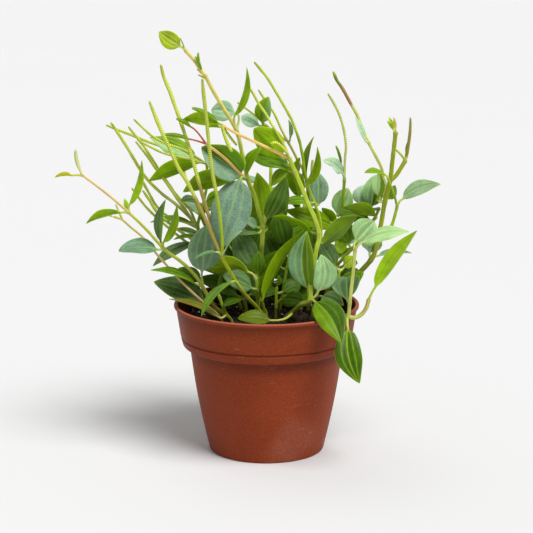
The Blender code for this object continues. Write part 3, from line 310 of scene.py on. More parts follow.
        (2, (42.5, 147.3, 13), (11.5, 158, 8), 13, 58, 10),
        (3, (45.5, 154.5, 17), (52, 172.5, 21), 14, 0, 10),
        (5, (48.3, 182, 11), (41, 189.5, 7), 8, 30, 10),
        (5, (47.3, 186, 13), (36.3, 190.3, 18), 9, 45, 10),
        (5, (47.6, 188.5, 11), (44, 200, 8), 2.6, 30, 20),
    ], spikes=[
        (5, [
            (50, 190, 12), (50.6, 199, 12), (49.5, 208, 13), (46.7, 218, 15), (43, 226, 18), (39, 232.5, 21),
        ], 1.6),
    ]),
    "right_main_stem": Stem((41, 4), (3.5, 2.9), [
        (47, 101, 1), (57, 113.5, -2), (67.5, 125.5, -5), (71, 135, -6), (73.8, 150, -7), (75.8, 163, -8),
        (79, 177, -9), (80.3, 190, -10), (81.5, 202, -11), (82, 208, -11),
    ], leaves=[
        (2, (66.5, 130, -4), (69, 142, 2), 14, 0, 10),
        (2, (72, 128, -4), (94, 129.7, 1), 9, -65, 12),
        (5, (72.5, 166, -3), (72, 182.3, 2), 10, 0, 10),
        (5, (71, 165, -10), (73, 180.5, -15), 6, 60, 30),
        (5, (77, 165, -4), (82.5, 174, 1), 8, 40, 10),
        (9, (81, 210, -11), (77.4, 218.3, -11), 3.4, 0, 30),
        (9, (80, 210.5, -12), (76.3, 215.5, -14), 2.4, 20, 20),
        (9, (82, 211, -11), (80.7, 217.8, -9), 2.6, 20, 20),
    ], branches=[
        Stem(6, (2.9, 2.6), [(82.8, 180.5, -7), (88.6, 190, -5)], leaves=[
            (1, (88.6, 192.5, -5), (91.2, 218, -3), 3.2, 55, 20, -0.8),
            (1, (89.8, 192.5, -4), (91.8, 205, -1), 4, -60, 15),
        ], spikes=[(1, [(86, 193.5, -7), (82.7, 196.8, -9.5)], 1.4)]),
        Stem(5, (2.3, 2.1), [
            (75.2, 173, -3), (73.7, 184, 0), (70, 192, 1), (65, 201.5, 3), (60.5, 211, 5),
        ], leaves=[(3, (62.8, 203, 1), (56, 218.5, -1), 6, 50, 15, -1.5)], spikes=[
            (4, [(57.6, 219, 7), (53, 227, 9), (48, 236, 11), (44.5, 241, 12), (42.2, 246.5, 13)], 2.0),
        ]),
        Stem(3, (2.4, 2.0), [(77, 142, -4), (80.5, 148, -3), (82.3, 154, -3), (83.7, 160, -3)], leaves=[
            (3, (87, 165, -3), (111.5, 174.8, 0), 14.5, -50, 12, -1),
        ], branches=[
            Stem(3, (1.7, 1.6), [(82.3, 166, -5), (80, 172.5, -13), (77.5, 178.5, -15)], leaves=[
                (2, (76, 180.8, -15), (62.5, 182, -19), 10, 70, 15),
            ]),
        ]),
    ]),
    "right_second_stem": Stem((36, 11), (2.5, 2.0), [
        (40, 107, 10), (45, 120.5, 8), (55, 132.5, 6), (62, 141, 5), (68.5, 151, 4), (72.3, 159, 3),
    ], leaves=[
        (0, (44, 111, 12), (60, 118.5, 16), 13, -30, 10),
        (1, (49, 121, 4), (59, 123, -8), 11, -35, 10),
        (4, (70, 154, 0), (49, 159.5, -6), 15, 122, 12),
        (5, (67, 160, 6), (70, 181, 10), 14, 0, 8),
        (5, (61.5, 160, 9), (64, 174.5, 14), 16, 0, 8),
        (4, (66, 151.5, 9), (46, 156.5, 12), 13, 35, 10),
        (2, (53, 136, 10), (50.5, 150, 13), 13, 10, 10),
    ]),
    "small_inner_stem": Stem((6, -5), (2.2, 2.0), [
        (6.3, 95, -6), (6.2, 103, -6), (6.5, 107, -6),
    ], leaves=[
        (2, (6.7, 108, -6), (7.7, 115.5, -8), 5, 30, 40),
        (0, (10, 99, -8), (25, 97, -18), 13, -35, 10),
        (1, (10, 104, -3), (22, 109, 2), 12, -30, 10),
    ]),
    "back_left_stem": Stem((-17, 17), (2.8, 2.0), [
        (-21, 101, 18), (-29, 115, 19), (-38, 130, 21), (-44, 146, 22), (-41, 160, 21), (-38, 175, 20),
        (-38, 188, 19),
    ], leaves=[
        (2, (-46, 136.5, 17), (-73.5, 121, 7), 13, 55, 10),
        (2, (-43, 140, 14), (-60, 138.5, 6), 8, 70, 10),
        (3, (-48.5, 150, 19), (-75, 149.8, 14), 10, 66, 12),
        (4, (-43, 162.3, 16), (-55, 163.5, 10), 12, 70, 25),
        (4, (-39.5, 161.5, 16), (-27, 166.5, 8), 14, -45, 10),
        (6, (-44, 188.5, 15), (-75.5, 176.5, 6), 15, 133, 10),
        (6, (-44.5, 190, 23), (-74.5, 205, 20), 14, 25, 12),
    ], spikes=[
        (3, [
            (-50, 154, 22), (-59, 162.5, 21), (-68, 169.5, 19), (-78.5, 181, 16), (-89, 199, 12),
            (-95.5, 209.5, 9), (-98.5, 214, 7),
        ], 2.0),
        (6, [
            (-47, 192, 26), (-56, 195.3, 30), (-65, 198.5, 33), (-75, 202, 35), (-86, 206.5, 36),
            (-95, 210, 37), (-101.5, 212.7, 37),
        ], 1.8),
        (6, [(-52, 196.5, 14), (-64, 201, 12), (-73, 206, 10), (-84, 216.3, 7)], 1.5),
        (3, [
            (-51, 157, 25), (-60, 171, 27), (-68, 183, 28), (-74, 193, 29), (-79, 200.5, 29),
            (-87.5, 211.5, 30),
        ], 1.7),
        (3, [
            (-49, 153, 18), (-57, 165, 16), (-64, 175.5, 14), (-70, 184, 12), (-76, 193, 10), (-83, 202, 8),
        ], 1.7),
        (6, [(-50, 191, 13), (-64, 194.3, 8), (-72, 197.8, 6), (-82, 203.2, 4)], 1.5),
        (2, [(-50, 136, 26), (-62, 145.5, 28), (-71, 153.5, 29), (-78.5, 161.5, 29), (-86, 172, 29)], 1.7),
        (2, [
            (-47, 138, 19), (-56, 144.5, 17), (-64, 150.5, 13), (-70.5, 157, 11), (-75, 164.5, 10),
            (-79, 170.5, 9),
        ], 1.9),
        (3, [(-52, 150, 27), (-62, 153, 31), (-70, 160, 33), (-76, 170.5, 33), (-81, 180, 33)], 1.8),
        (3, [(-49, 158, 20), (-55, 165, 20), (-61, 172, 19), (-66.5, 179, 18)], 1.6),
    ]),
    "front_left_stem": Stem((-22, -22), (2.4, 2.0), [
        (-26, 89, -23), (-28.5, 95, -23), (-30.5, 101, -21),
    ], leaves=[
        (0, (-30.5, 86.8, -26), (-63.5, 99.3, -5), 10, 66, 10),
        (2, (-31, 104.5, -19), (-26, 117, -14), 9, 30, 12),
    ]),
    "inner_left_stem": Stem((-13, 8), (2.4, 1.9), [
        (-14.5, 99.5, 8.5), (-18, 117, 11), (-21, 131, 13), (-19, 147, 15),
    ], leaves=[
        (0, (-19, 101.5, 10), (-45, 113, 13), 17, 50, 12),
        (0, (-11, 102, 12), (8, 107, 19), 15, -50, 12),
        (1, (-15.5, 122, 13), (-5, 144, 17), 16, -15, 12),
        (1, (-22, 119, 9), (-46, 127, 11), 17, 45, 12),
        (2, (-24, 135, 15), (-33, 158, 20), 15, 20, 12),
        (2, (-18, 135, 14), (-12, 158, 22), 14, -10, 12),
        (3, (-16, 150, 14), (-5, 170, 11), 13, -20, 12),
        (3, (-22, 149.5, 17), (-36, 165, 19), 14, 40, 12),
        (1, (-20, 121, 16), (-30, 138, 23), 16, 20, 12),
    ]),
    "inner_middle_stem": Stem((9, 12), (2.4, 1.9), [
        (10, 100, 12.5), (11.3, 109, 14), (13, 119, 15.3), (15, 131, 17),
    ], leaves=[
        (0, (13.5, 102, 14), (35, 107, 20), 16, -50, 12),
        (1, (15, 112, 13), (32, 122, 10), 16, -30, 12),
        (2, (9, 121, 17), (0, 141, 22), 17, 15, 12),
        (2, (16, 122, 14), (33, 131, 14), 15, -35, 12),
        (3, (12, 135, 19), (6, 158, 26), 15, 15, 12),
        (3, (18, 134, 18), (36, 146, 24), 15, -35, 12),
    ]),
    "inner_right_stem": Stem((44, -7), (2.3, 1.9), [
        (45, 100, -7), (46, 109, -6), (47, 118, -5),
    ], leaves=[
        (0, (48, 104, -8), (63, 117, -12), 13, -30, 12),
        (2, (44, 121, -6), (33, 138, -10), 13, 30, 12),
        (2, (50, 120, -4), (58, 127, -2), 10, -40, 12),
    ]),
    "inner_back_stem": Stem((-4, 21), (2.4, 1.9), [
        (-4, 99, 22), (-3.5, 113, 24), (-3, 127, 26), (-2.5, 143, 27),
    ], leaves=[
        (0, (-8, 100, 25), (-34, 103, 29), 18, 40, 10),
        (0, (0, 101, 26), (27, 104, 31), 18, -40, 10),
        (1, (-7, 114, 27), (-31, 122, 30), 18, 35, 10),
        (1, (1, 115, 27), (26, 122, 31), 18, -35, 10),
        (2, (-6, 129, 29), (-22, 147, 33), 17, 20, 10),
        (2, (1, 129, 28), (18, 146, 33), 17, -20, 10),
        (3, (-4, 146, 29), (-10, 168, 33), 15, 5, 10),
        (3, (1, 146, 29), (13, 166, 32), 15, -15, 10),
    ]),
}

# The stems at the back, which the front ones hide: (foot angle, lean, height, leaf pairs, with a spike)
REAR_STEMS = [
    (34, 22, 40, 2, False),
    (64, 18, 58, 2, True),
    (88, 24, 74, 3, True),
    (112, 16, 52, 2, False),
    (138, 24, 60, 2, True),
]
REAR_FOOT_RADIUS = 33.0
REAR_THICKNESS = (2.6, 1.9)
REAR_CURVE = 1.4
REAR_SWAY = (-3, 3)
REAR_LEAF_LENGTH = (24.0, 31.0)
REAR_LEAF_WIDTH = (14.0, 19.0)
REAR_LEAF_FOLD = (8, 20)
REAR_TOP_SIZE = 0.8
REAR_STALK = 5
REAR_SKEW = 0.4
REAR_OUTWARDS = 0.25
REAR_LOW_RISE = (-0.1, 0.2)
REAR_RISE = (0.15, 0.75)
REAR_SPIKE_WIDTH = 2.1
REAR_SPIKE_WAY = (0.8, 0.35)
REAR_SPIKE_ROUTE = ((14, 0), (30, 3), (44, 0))
REAR_SEED = 11

# How far a tip may be bent back or forward, and a leaf turned, to stay clear of its neighbours, and how much
# of the bend the blade's base takes
BENDS = (0, 4, -4, 8, -8, 12, -12, 17, -17, 22, -22)
TURNS = (0, 14, -14, 28, -28, 42, -42)
BEND_STEP = 4
TURN_STEP = 14
BASE_BEND = 0.15

# The shares of its planned size that a leaf is tried at, where it has no clear place
LEAF_SIZES = (1.0, 0.85, 0.7, 0.55)

# How close a point of a solid has to be to count as found, and how short a part across a line is as good as
# none
FOUND_WITHIN = 0.03
LEAST_SIDEWAYS = 0.05


def seen(place):
    """The point that looks to be at (across, up) from the eye and lies `back` behind the pot's axis."""
    across, up, back = place
    on_plane = Vector((across, 0.0, up))
    return EYE + (on_plane - EYE) * ((back - EYE.y) / -EYE.y)


def smooth_route(points, per_span):
    """A Catmull-Rom curve through the points, with per_span steps from each to the next."""
    padded = [points[0] * 2 - points[1]] + points + [points[-1] * 2 - points[-2]]
    route = []
    for i in range(1, len(padded) - 2):
        before, start, end, after = padded[i - 1:i + 3]
        for step in range(per_span):
            t = step / per_span
            route.append(
                (start * 2 + (end - before) * t
                 + (before * 2 - start * 5 + end * 4 - after) * t ** 2
                 + (start * 3 - before - end * 3 + after) * t ** 3) / 2
            )
    route.append(points[-1].copy())
    return route


def turned_away(reference, direction):
    """The part of reference that is square to direction, at length 1, or any such line where it has none."""
    across = reference - direction * reference.dot(direction)
    if across.length < LEAST_SIDEWAYS:
        spare = Vector((1, 0, 0)) if abs(direction.x) < 0.8 else Vector((0, 1, 0))
        across = spare - direction * spare.dot(direction)
    return across.normalized()


def blade_axes(base, tip, turn):
    """The blade's direction, the way that its upper face looks and its side, from the turn in degrees."""
    along = (tip - base).normalized()
    facing = turned_away(EYE - (base + tip) / 2, along)
    normal = facing * math.cos(math.radians(turn)) + along.cross(facing) * math.sin(math.radians(turn))
    return along, normal, along.cross(normal)


def turn_to(base, tip, normal):
    """The turn in degrees that makes the blade's upper face look along normal."""
    along = (tip - base).normalized()
    facing = turned_away(EYE - (base + tip) / 2, along)
    wanted = turned_away(normal, along)
    return math.degrees(math.atan2(wanted.dot(along.cross(facing)), wanted.dot(facing)))


def blade_half_width(t, width):
    """Half the blade's width at a share t of its length: widest below the middle, pointed at the tip."""
    lean = t ** BLADE_LEAN
    return width / 2 * np.maximum(0.0, 4 * lean * (1 - lean)) ** BLADE_FULLNESS


def grown_thickness(limits, width):
    """A thickness that grows with the blade's width: (least, share of the width, most)."""
    least, share, most = limits
    return min(most, least + width * share)


def foot_points(x, y):
    """The start of a stem's route, down in the soil and just above it."""
    return [Vector((x, y, SOIL_TOP - ROOT_DEPTH)), Vector((x, y, SOIL_TOP + FOOT_RISE))]


def walk_stems(plan, start):
    """The stem and each of its branches: (whole route, the points that others grow from, plan)."""
    points = [seen(place) for place in plan.route]
    yield start + points, points, plan
    for branch in plan.branches:
        yield from walk_stems(branch, [points[branch.root]])


def rear_stems():
    """The leafy stems at the back: each leans outwards, with leaf pairs a quarter turn apart."""
    draw = random.Random(REAR_SEED)
    for number, (angle, lean, height, pairs, with_spike) in enumerate(REAR_STEMS, 1):
        out = Vector((math.cos(math.radians(angle)), math.sin(math.radians(angle)), 0))
        side = out.cross(UP)
        foot = out * REAR_FOOT_RADIUS
        points = []
        for i in range(pairs + 1):
            share = (i + 1) / (pairs + 1)
            sway = side * draw.uniform(*REAR_SWAY)
            rise = Vector((0, 0, SOIL_TOP + height * share))
            points.append(foot + out * lean * share ** REAR_CURVE + sway + rise)
        leaves = []
        for i, point in enumerate(points):
            spread = side if i % 2 else (out + side * REAR_SKEW).normalized()
            size = 1.0 if i < pairs else REAR_TOP_SIZE
            for sign in (1, -1):
                length = draw.uniform(*REAR_LEAF_LENGTH) * size
                width = draw.uniform(*REAR_LEAF_WIDTH) * size
                rise = Vector((0, 0, draw.uniform(*(REAR_RISE if i else REAR_LOW_RISE))))
                way = (spread * sign + out * REAR_OUTWARDS + rise).normalized()
                base = point + way * REAR_STALK
                tip = base + way * length
                fold = draw.uniform(*REAR_LEAF_FOLD)
                leaves.append((point, base, tip, width, turn_to(base, tip, UP), fold))
        end = points[-1]
        lift = UP * REAR_SPIKE_WAY[0] + out * REAR_SPIKE_WAY[1]
        spike = [end] + [end + lift * rise + out * more for rise, more in REAR_SPIKE_ROUTE]
        yield f"rear_stem_{number}", foot, points, leaves, [spike] if with_spike else []


def bent_spike(points, root, bend):
    """The spike's route, bent back more and more towards its tip."""
    count = len(points)
    return [root] + [
        point + (point - EYE).normalized() * bend * ((i + 1) / count) for i, point in enumerate(points)
    ]


def leaf_choices(root, base, tip, width, turn, fold, bow=0.0):
    """The leaf as planned, then bent and turned by more and more, then smaller."""
    away = (tip - EYE).normalized()
    moves = sorted(
        ((bend, more) for bend in BENDS for more in TURNS),
        key=lambda move: (abs(move[0]) / BEND_STEP + abs(move[1]) / TURN_STEP, move[0], move[1]),
    )
    for size in LEAF_SIZES:
        for bend, more in moves:
            end = base.lerp(tip, size) + away * bend * size
            yield root, base + away * bend * BASE_BEND, end, width * size, turn + more, fold, bow * size


def edge_points(base, tip, width, turn, fold, bow):
    """The two edge points at each station of a leaf's solid."""
    _, normal, side = blade_axes(base, tip, turn)
    length = (tip - base).length
    lift = math.radians(fold)
    stations = LARGE_STATIONS if length >= LARGE_BLADE else MIDDLE_STATIONS
    if length < SMALL_BLADE:
        stations = SMALL_STATIONS
    points = []
    for t in stations:
        centre = base.lerp(tip, t) + (normal * BLADE_ARCH * length + side * bow) * 4 * t * (1 - t)
        half = max(blade_half_width(t, width), LEAST_HALF_WIDTH)
        for sign in (1, -1):
            points.append(centre + side * sign * math.cos(lift) * half + normal * math.sin(lift) * half)
    return points


class Solid:
    """A CAD node's points, to find which of a leaf's or a spike's choices it holds."""

    def __init__(self, name):
        mesh = frame["nodes"][name].data
        self.tree = kdtree.KDTree(len(mesh.vertices))
        place = frame["nodes"][name].matrix_world
        for vertex in mesh.vertices:
            self.tree.insert(place @ vertex.co / MM, vertex.index)
        self.tree.balance()

    def holds(self, point):
        return self.tree.find(point)[2] < FOUND_WITHIN

    def found_leaf(self, leaf):
        """The choice of place, turn and size that the solid holds, or None."""
        best, most = None, 0
        for choice in leaf_choices(*leaf):
            if not self.holds(choice[2]):
                continue
            found = sum(self.holds(point) for point in edge_points(*choice[1:]))
            if found > most:
                best, most = choice, found
        return best

    def found_spike(self, points, root, thickness):
        """The spike's route with the bend that the solid holds."""
        steps = 2 if len(points) < SHORT_SPIKE else 1
        for bend in BENDS:
            bent = bent_spike(points, root, bend)
            route = smooth_route(bent, steps)
            tip = route[-1] + (route[-1] - route[-2]).normalized() * thickness / 2
            if self.holds(tip):
                return bent
        return bent_spike(points, root, 0)


def body_radius(height):
    """The pot's outer radius below its step, with the slight swell of its side."""
    share = height / BAND_FOOT
    return FOOT_RADIUS + (STEP_RADIUS - FOOT_RADIUS) * share + SIDE_SWELL * math.sin(math.pi * share)


# The looks of a leaf: the colours of its upper face, its veins and its underside, how clearly the veins show,
# and how much painted silvery sheen it has. The blue-grey upper colours paint the sheen of the light on a
# leaf, some looks are lighter or darker copies of others that paint the light or shade that a leaf lies in,
# and the undersides are lighter than their own colour, with painted light shining through them.
LEAF_LOOKS = {
    "B": ((110, 140, 113), (150, 188, 96), (140, 178, 36), 0.5, 0.9),
    "E": ((94, 128, 96), (140, 180, 84), (140, 178, 36), 0.6, 0.8),
    "C": ((74, 106, 52), (134, 168, 76), (120, 154, 18), 0.6, 0.45),
    "H": ((84, 120, 30), (150, 180, 62), (122, 158, 8), 0.6, 0.12),
    "Q": ((46, 72, 0), (104, 134, 26), (104, 136, 6), 0.5, 0.0),
    "D": ((68, 104, 8), (126, 160, 40), (120, 156, 4), 0.5, 0.1),
    "F": ((112, 150, 0), (166, 194, 50), (142, 178, 2), 0.45, 0.0),
    "G": ((86, 128, 0), (140, 174, 40), (132, 168, 4), 0.5, 0.05),
    "K": ((86, 104, 2), (132, 146, 36), (104, 120, 10), 0.25, 0.0),
    "M": ((150, 190, 128), (198, 220, 140), (156, 194, 74), 0.75, 0.4),
    "N": ((98, 138, 92), (152, 188, 84), (140, 178, 46), 0.85, 0.5),
    "P": ((168, 202, 168), (204, 226, 182), (168, 204, 146), 0.5, 0.4),
    "W": ((122, 156, 116), (168, 198, 118), (140, 178, 60), 0.6, 0.7),
    "X": ((128, 168, 124), (176, 206, 136), (124, 168, 112), 0.5, 0.5),
    "J": ((112, 112, 30), (156, 144, 76), (106, 106, 34), 0.4, 0.0),
    "Y": ((198, 208, 142), (216, 214, 162), (196, 204, 140), 0.4, 0.0),
    "L": ((162, 190, 0), (226, 234, 134), (162, 196, 14), 0.6, 0.0),
    "O": ((176, 172, 20), (204, 192, 80), (188, 184, 30), 0.3, 0.0),
    "R": ((142, 128, 60), (150, 150, 60), (142, 128, 60), 0.1, 0.0),
    "S": ((66, 104, 0), (140, 172, 36), (136, 172, 0), 0.4, 0.0),
    "T": ((200, 188, 112), (200, 188, 112), (200, 188, 112), 0.1, 0.0),
    "V": ((102, 138, 8), (172, 202, 74), (134, 168, 8), 0.7, 0.0),
    "U": ((62, 96, 0), (150, 182, 46), (132, 168, 8), 0.8, 0.0),
}

# The look of each leaf, in the order of the stem's leaves and then its branches'. Two letters are the looks
# of its two halves, whose colours paint the different light and shade that the two halves catch.
LOOKS = {
    "left_reach_stem": "C W G D E CG G F F F O Y",
    "tan_runner_stem": "F",
    "spike_bearer_stem": "X X D Q",
    "low_centre_stem": "F G L C C G",
    "tall_main_stem": "H C B F B BG F F F P G G T T L F G G",
    "front_main_stem": "K NV M DV Q G G F F G F F",
    "trailing_stem": "U N M M F",
    "behind_centre_stem": "C S S G P FM",
    "centre_right_stem": "C B G FG F",
    "right_vertical_stem": "D G G F M P P G",
    "right_main_stem": "B B M G G L F T RF F P W F",
    "right_second_stem": "D D S MG P D G",
    "small_inner_stem": "G Q D",
    "back_left_stem": "C G G C F F MF",
    "front_left_stem": "J Q",
    "inner_left_stem": "D D D G B C F G C",
    "inner_middle_stem": "G G D G D G",
    "inner_right_stem": "G C L",
    "inner_back_stem": "Q Q F D D G G D",
}
REAR_LOOKS = "DBGDBC"

# Leaves that are still rolled up, by their number, with the radius of the roll, and those with red stalks
ROLLED = {
    "tall_main_stem": {10: 0.8, 11: 0.8, 12: 0.6, 13: 0.5, 15: 0.4, 16: 1.3, 17: 1.3},
    "front_main_stem": {9: 1.7},
    "right_main_stem": {7: 0.9, 8: 1.0},
    "right_vertical_stem": {7: 0.9},
    "left_reach_stem": {11: 1.2},
}
RED_STALKS = {("tall_main_stem", 16), ("tall_main_stem", 17)}

# Colours of the stems, the leaf stalks and the spikes
TINTS = {
    "moss": (120, 130, 28), "olive": (146, 158, 22), "leaf": (150, 180, 22), "lime": (166, 190, 46),
    "apple": (168, 188, 56), "gold": (180, 188, 64), "straw": (206, 196, 104), "pale": (222, 230, 140),
    "tan": (220, 188, 126), "orange": (224, 186, 110), "red": (186, 92, 78), "bronze": (160, 122, 72),
    "sage": (196, 202, 104), "umber": (164, 150, 70), "spike": (196, 210, 80), "spike tip": (172, 184, 62),
}

# Each stem's colour at its foot and at its tip, and where along it one turns into the other, and then the
# same for its branches
PLAIN_STEM = ("moss", "leaf", 0.55)
STEM_TINTS = {
    "left_reach_stem": [("gold", "tan", 0.74)],
    "tan_runner_stem": [("tan", "straw", 0.8)],
    "spike_bearer_stem": [("moss", "olive", 0.6)],
    "tall_main_stem": [("apple", "straw", 0.66), ("orange", "orange", 0.3)],
    "front_main_stem": [("moss", "apple", 0.25), ("orange", "orange", 0.7)],
    "trailing_stem": [("sage", "sage", 0.4), ("sage", "straw", 0.6)],
    "behind_centre_stem": [("leaf", "straw", 0.75), ("straw", "gold", 0.5)],
    "centre_right_stem": [("moss", "lime", 0.6)],
    "right_vertical_stem": [("leaf", "lime", 0.9)],
    "right_main_stem": [
        ("moss", "olive", 0.45), ("olive", "olive", 0.5), ("sage", "sage", 0.6), ("leaf", "leaf", 0.5),
        ("leaf", "lime", 0.5),
    ],
}

# The colours of the spikes' stalks, in the order of the spikes, and the spikes with a body of another colour
SPIKE_STALKS = {
    "spike_bearer_stem": ["umber", "umber", "lime"],
    "tan_runner_stem": ["gold"],
    "front_main_stem": ["gold"],
    "behind_centre_stem": ["straw"],
    "right_vertical_stem": ["pale"],
    "right_main_stem": ["lime", "sage"],
    "back_left_stem": ["sage"],
}
SPIKE_BODIES = {("right_main_stem", 1): "bronze", ("right_vertical_stem", 0): "pale"}

# How finely the surfaces are made
LEAF_COLUMNS = np.array([0.0, 0.07, 0.22, 0.38, 0.47, 0.56, 0.74, 0.9, 1.0])
LEAF_ROWS = (8, 26)
ROW_LENGTH = 1.6
STALK_ROWS = 6
STEM_SIDES = 16
STEM_STEP = 1.2
SPIKE_RING_STEP = 0.36
SPIKE_SIDES = 12
ROUTE_STEPS = 12
LEAST_ROWS = 4

# How much a stem swells and varies, and its ridges. A wave is (height, pace), and starts at any phase.
PHASE = (0, 6)
JOINT_LENGTH = 1.5
JOINT_SWELL = 0.26
STEM_WAVE = (0.03, 0.9)
RIDGE_COUNT = 4
RIDGE_SHARPNESS = 1.5
RIDGE_FORM = (0.88, 0.24)
RIDGE_FADE = 0.6
COLOUR_TURN = 0.12

# A spike: the bare share of a long and of a short one, its narrowing tip, and its knobs, which stand in two
# crossing spirals. A change along it is (where it starts, over what share).
LONG_SPIKE = 35
LONG_BARE = 0.36
SHORT_BARE = 0.22
FLOWER_START = 0.06
SPIKE_TIP = (0.9, 0.1)
TIP_NARROWING = 0.35
SPIKE_WAVE = (0.04, 0.7)
KNOB_REACH = 0.22
KNOB_STARTS = 3
KNOB_CLIMB = 2.6
KNOB_SKEW = 1.07
BRONZE_END = (0.7, 0.08)

# The veins of a leaf: how far out they are as a share of the half width, and the depth of their grooves
SIDE_VEIN = 0.47
OUTER_VEIN = 0.82
VEIN_GROOVES = ((0.0, 0.16), (SIDE_VEIN, 0.10), (OUTER_VEIN, 0.05))
GROOVE_REACH = 0.45
FULL_GROOVES = 3.0

# The form of a blade: how crowded its rows are at both ends, how pointed it is, by how slim it is, its
# thickness and how that falls to the edge and to the tip, its fold, its waves, its keel, its seam, its stalk,
# which joins it at 0 on the blade's own scale, and how soon the stalk opens into it
ROWS_AT_ENDS = 0.45
LEAST_POINTED = 0.12
MOST_POINTED = 0.5
SLIM_BLADE = 0.4
POINT_LOSS = 1.2
POINT_START = 0.6
POINT_CURVE = 1.3
BLADE_THICKNESS = (0.5, 0.045, 1.1)
EDGE_THINNING = 0.55
MARGIN_THINNING = 0.30
TIP_THINNING = 0.45
FOLD_SOFTNESS = 0.10
WAVE_HEIGHT = (0.02, 0.05)
WAVE_COUNT = (0.8, 1.5)
WAVE_SLANT = 2
BULGE = (0.10, 0.2)
KEEL = 0.25
KEEL_WIDTH = 0.6
SEAM = 0.04
STALK_FLATNESS = 0.85
STALK_BLEND = 0.8
STALK_PLACES = (-0.3, -0.02)
STALK_FLARE = 0.35
STALK_BEND = 0.35
STALK_LEAN = 0.2
ROLL_FORM = 0.8
HALVES_BLEND = 0.14
LONG_LEAF = 20
LONG_OPENING = 0.10
SHORT_OPENING = 0.2

# How much one leaf or stem is lighter or warmer than the next
LEAF_SHADE = (0.9, 1.1)
LEAF_WARMTH = (0.94, 1.06)
STEM_SHADE = (0.92, 1.08)


def srgb(red, green, blue):
    """A linear colour from its 0 to 255 values."""
    return tuple(
        value / 12.92 if value <= 0.04045 else ((value + 0.055) / 1.055) ** 2.4
        for value in (red / 255, green / 255, blue / 255)
    )


def tint(name):
    """A named colour as a row of numbers."""
    return np.array(srgb(*TINTS[name]))


def row(vector):
    """A vector as a row of numbers."""
    return np.array(tuple(vector))


def smooth_step(values):
    clipped = np.clip(values, 0.0, 1.0)
    return clipped * clipped * (3 - 2 * clipped)


def round_angles(sides):
    return np.arange(sides) / sides * math.tau


def new_object(name, data):
    """A new object of the scene."""
    obj = bpy.data.objects.new(name, data)
    bpy.context.scene.collection.objects.link(obj)
    return obj


class Builder:
    """Gathers surfaces into one mesh, with values at each of its points."""

    def __init__(self):
        self.points = []
        self.quads = []
        self.triangles = []
        self.values = {}
        self.count = 0

    def add(self, points, quads, triangles, **values):
        """Adds a closed surface, turned inside out where its faces point inwards."""
        corners = points[triangles] if len(triangles) else np.zeros((0, 3, 3))
        volume = np.einsum("ij,ij->", corners[:, 0], np.cross(corners[:, 1], corners[:, 2]))
        if len(quads):
            a, b, c, d = (points[quads[:, k]] for k in range(4))
            volume += np.einsum("ij,ij->", a, np.cross(b, c)) + np.einsum("ij,ij->", a, np.cross(c, d))
        if volume < 0:
            quads = quads[:, ::-1]
            triangles = triangles[:, ::-1]
        self.quads.append(quads + self.count)
        self.triangles.append(triangles + self.count)
        self.points.append(points)
        for name, rows in values.items():
            self.values.setdefault(name, []).append(rows)
        self.count += len(points)

    def loft(self, rings, first, last, **values):
        """Closed rings of points (rows, around, 3), closed at each end by one point."""
        rows, around = rings.shape[:2]
        index = np.arange(rows * around).reshape(rows, around)
        ahead = np.roll(index, -1, axis=1)
        quads = np.stack([index[:-1], ahead[:-1], ahead[1:], index[1:]], axis=-1).reshape(-1, 4)
        start, end = rows * around, rows * around + 1
        low = np.stack([np.full(around, start), ahead[0], index[0]], axis=-1)
        high = np.stack([np.full(around, end), index[-1], ahead[-1]], axis=-1)
        flat = {}
        for name, grid in values.items():
            ends = [grid[k].mean(axis=0).reshape(1, -1) for k in (0, -1)]
            flat[name] = np.concatenate([grid.reshape(rows * around, -1)] + ends)
        points = np.concatenate([rings.reshape(-1, 3), [first, last]])
        self.add(points, quads, np.concatenate([low, high]), **flat)

    def object(self, name, material):
        """One object of all the surfaces, with the values as attributes of its points."""
        points = np.concatenate(self.points) * MM
        quads = np.concatenate(self.quads)
        triangles = np.concatenate(self.triangles)
        mesh = bpy.data.meshes.new(name)
        mesh.vertices.add(len(points))
        mesh.vertices.foreach_set("co", points.astype(np.float32).ravel())
        corners = np.concatenate([quads.ravel(), triangles.ravel()]).astype(np.int32)
        mesh.loops.add(len(corners))
        mesh.loops.foreach_set("vertex_index", corners)
        starts = np.concatenate([
            np.arange(len(quads)) * 4, len(quads) * 4 + np.arange(len(triangles)) * 3,
        ]).astype(np.int32)
        mesh.polygons.add(len(starts))
        mesh.polygons.foreach_set("loop_start", starts)
        mesh.update(calc_edges=True)
        mesh.validate()
        kinds = {1: ("FLOAT", "value"), 3: ("FLOAT_VECTOR", "vector"), 4: ("FLOAT_COLOR", "color")}
        for key, rows in self.values.items():
            data = np.concatenate(rows).astype(np.float32)
            kind, field = kinds[data.shape[1]]
            mesh.attributes.new(key, kind, "POINT").data.foreach_set(field, data.ravel())
        mesh.shade_smooth()
        mesh.materials.append(material)
        return new_object(name, mesh)


def even_route(points, step):
    """A smooth route through the points in rows about a step apart, and the length run at each."""
    curve = np.array([tuple(point) for point in smooth_route(points, ROUTE_STEPS)])
    runs = np.concatenate([[0.0], np.cumsum(np.linalg.norm(np.diff(curve, axis=0), axis=1))])
    count = max(LEAST_ROWS, int(round(runs[-1] / step)) + 1)
    wanted = np.linspace(0.0, runs[-1], count)
    return np.stack([np.interp(wanted, runs, curve[:, k]) for k in range(3)], axis=-1), wanted


def carried_frames(route):
    """The side and the up at each row of a route, with no twist along it."""
    steps = np.gradient(route, axis=0)
    directions = steps / np.linalg.norm(steps, axis=1, keepdims=True)
    side = row(turned_away(Vector((1.0, 1.0, 0.0)), Vector(directions[0])))
    sides = []
    for direction in directions:
        side = side - direction * side.dot(direction)
        side = side / np.linalg.norm(side)
        sides.append(side)
    return np.array(sides), np.cross(directions, sides)


def with_alpha(colours, alpha=1.0):
    """Colours on a grid or in rows with a fourth value, the same for all or one for each."""
    fourth = np.broadcast_to(alpha, (*colours.shape[:-1], 1))
    return np.concatenate([colours, fourth], axis=-1)


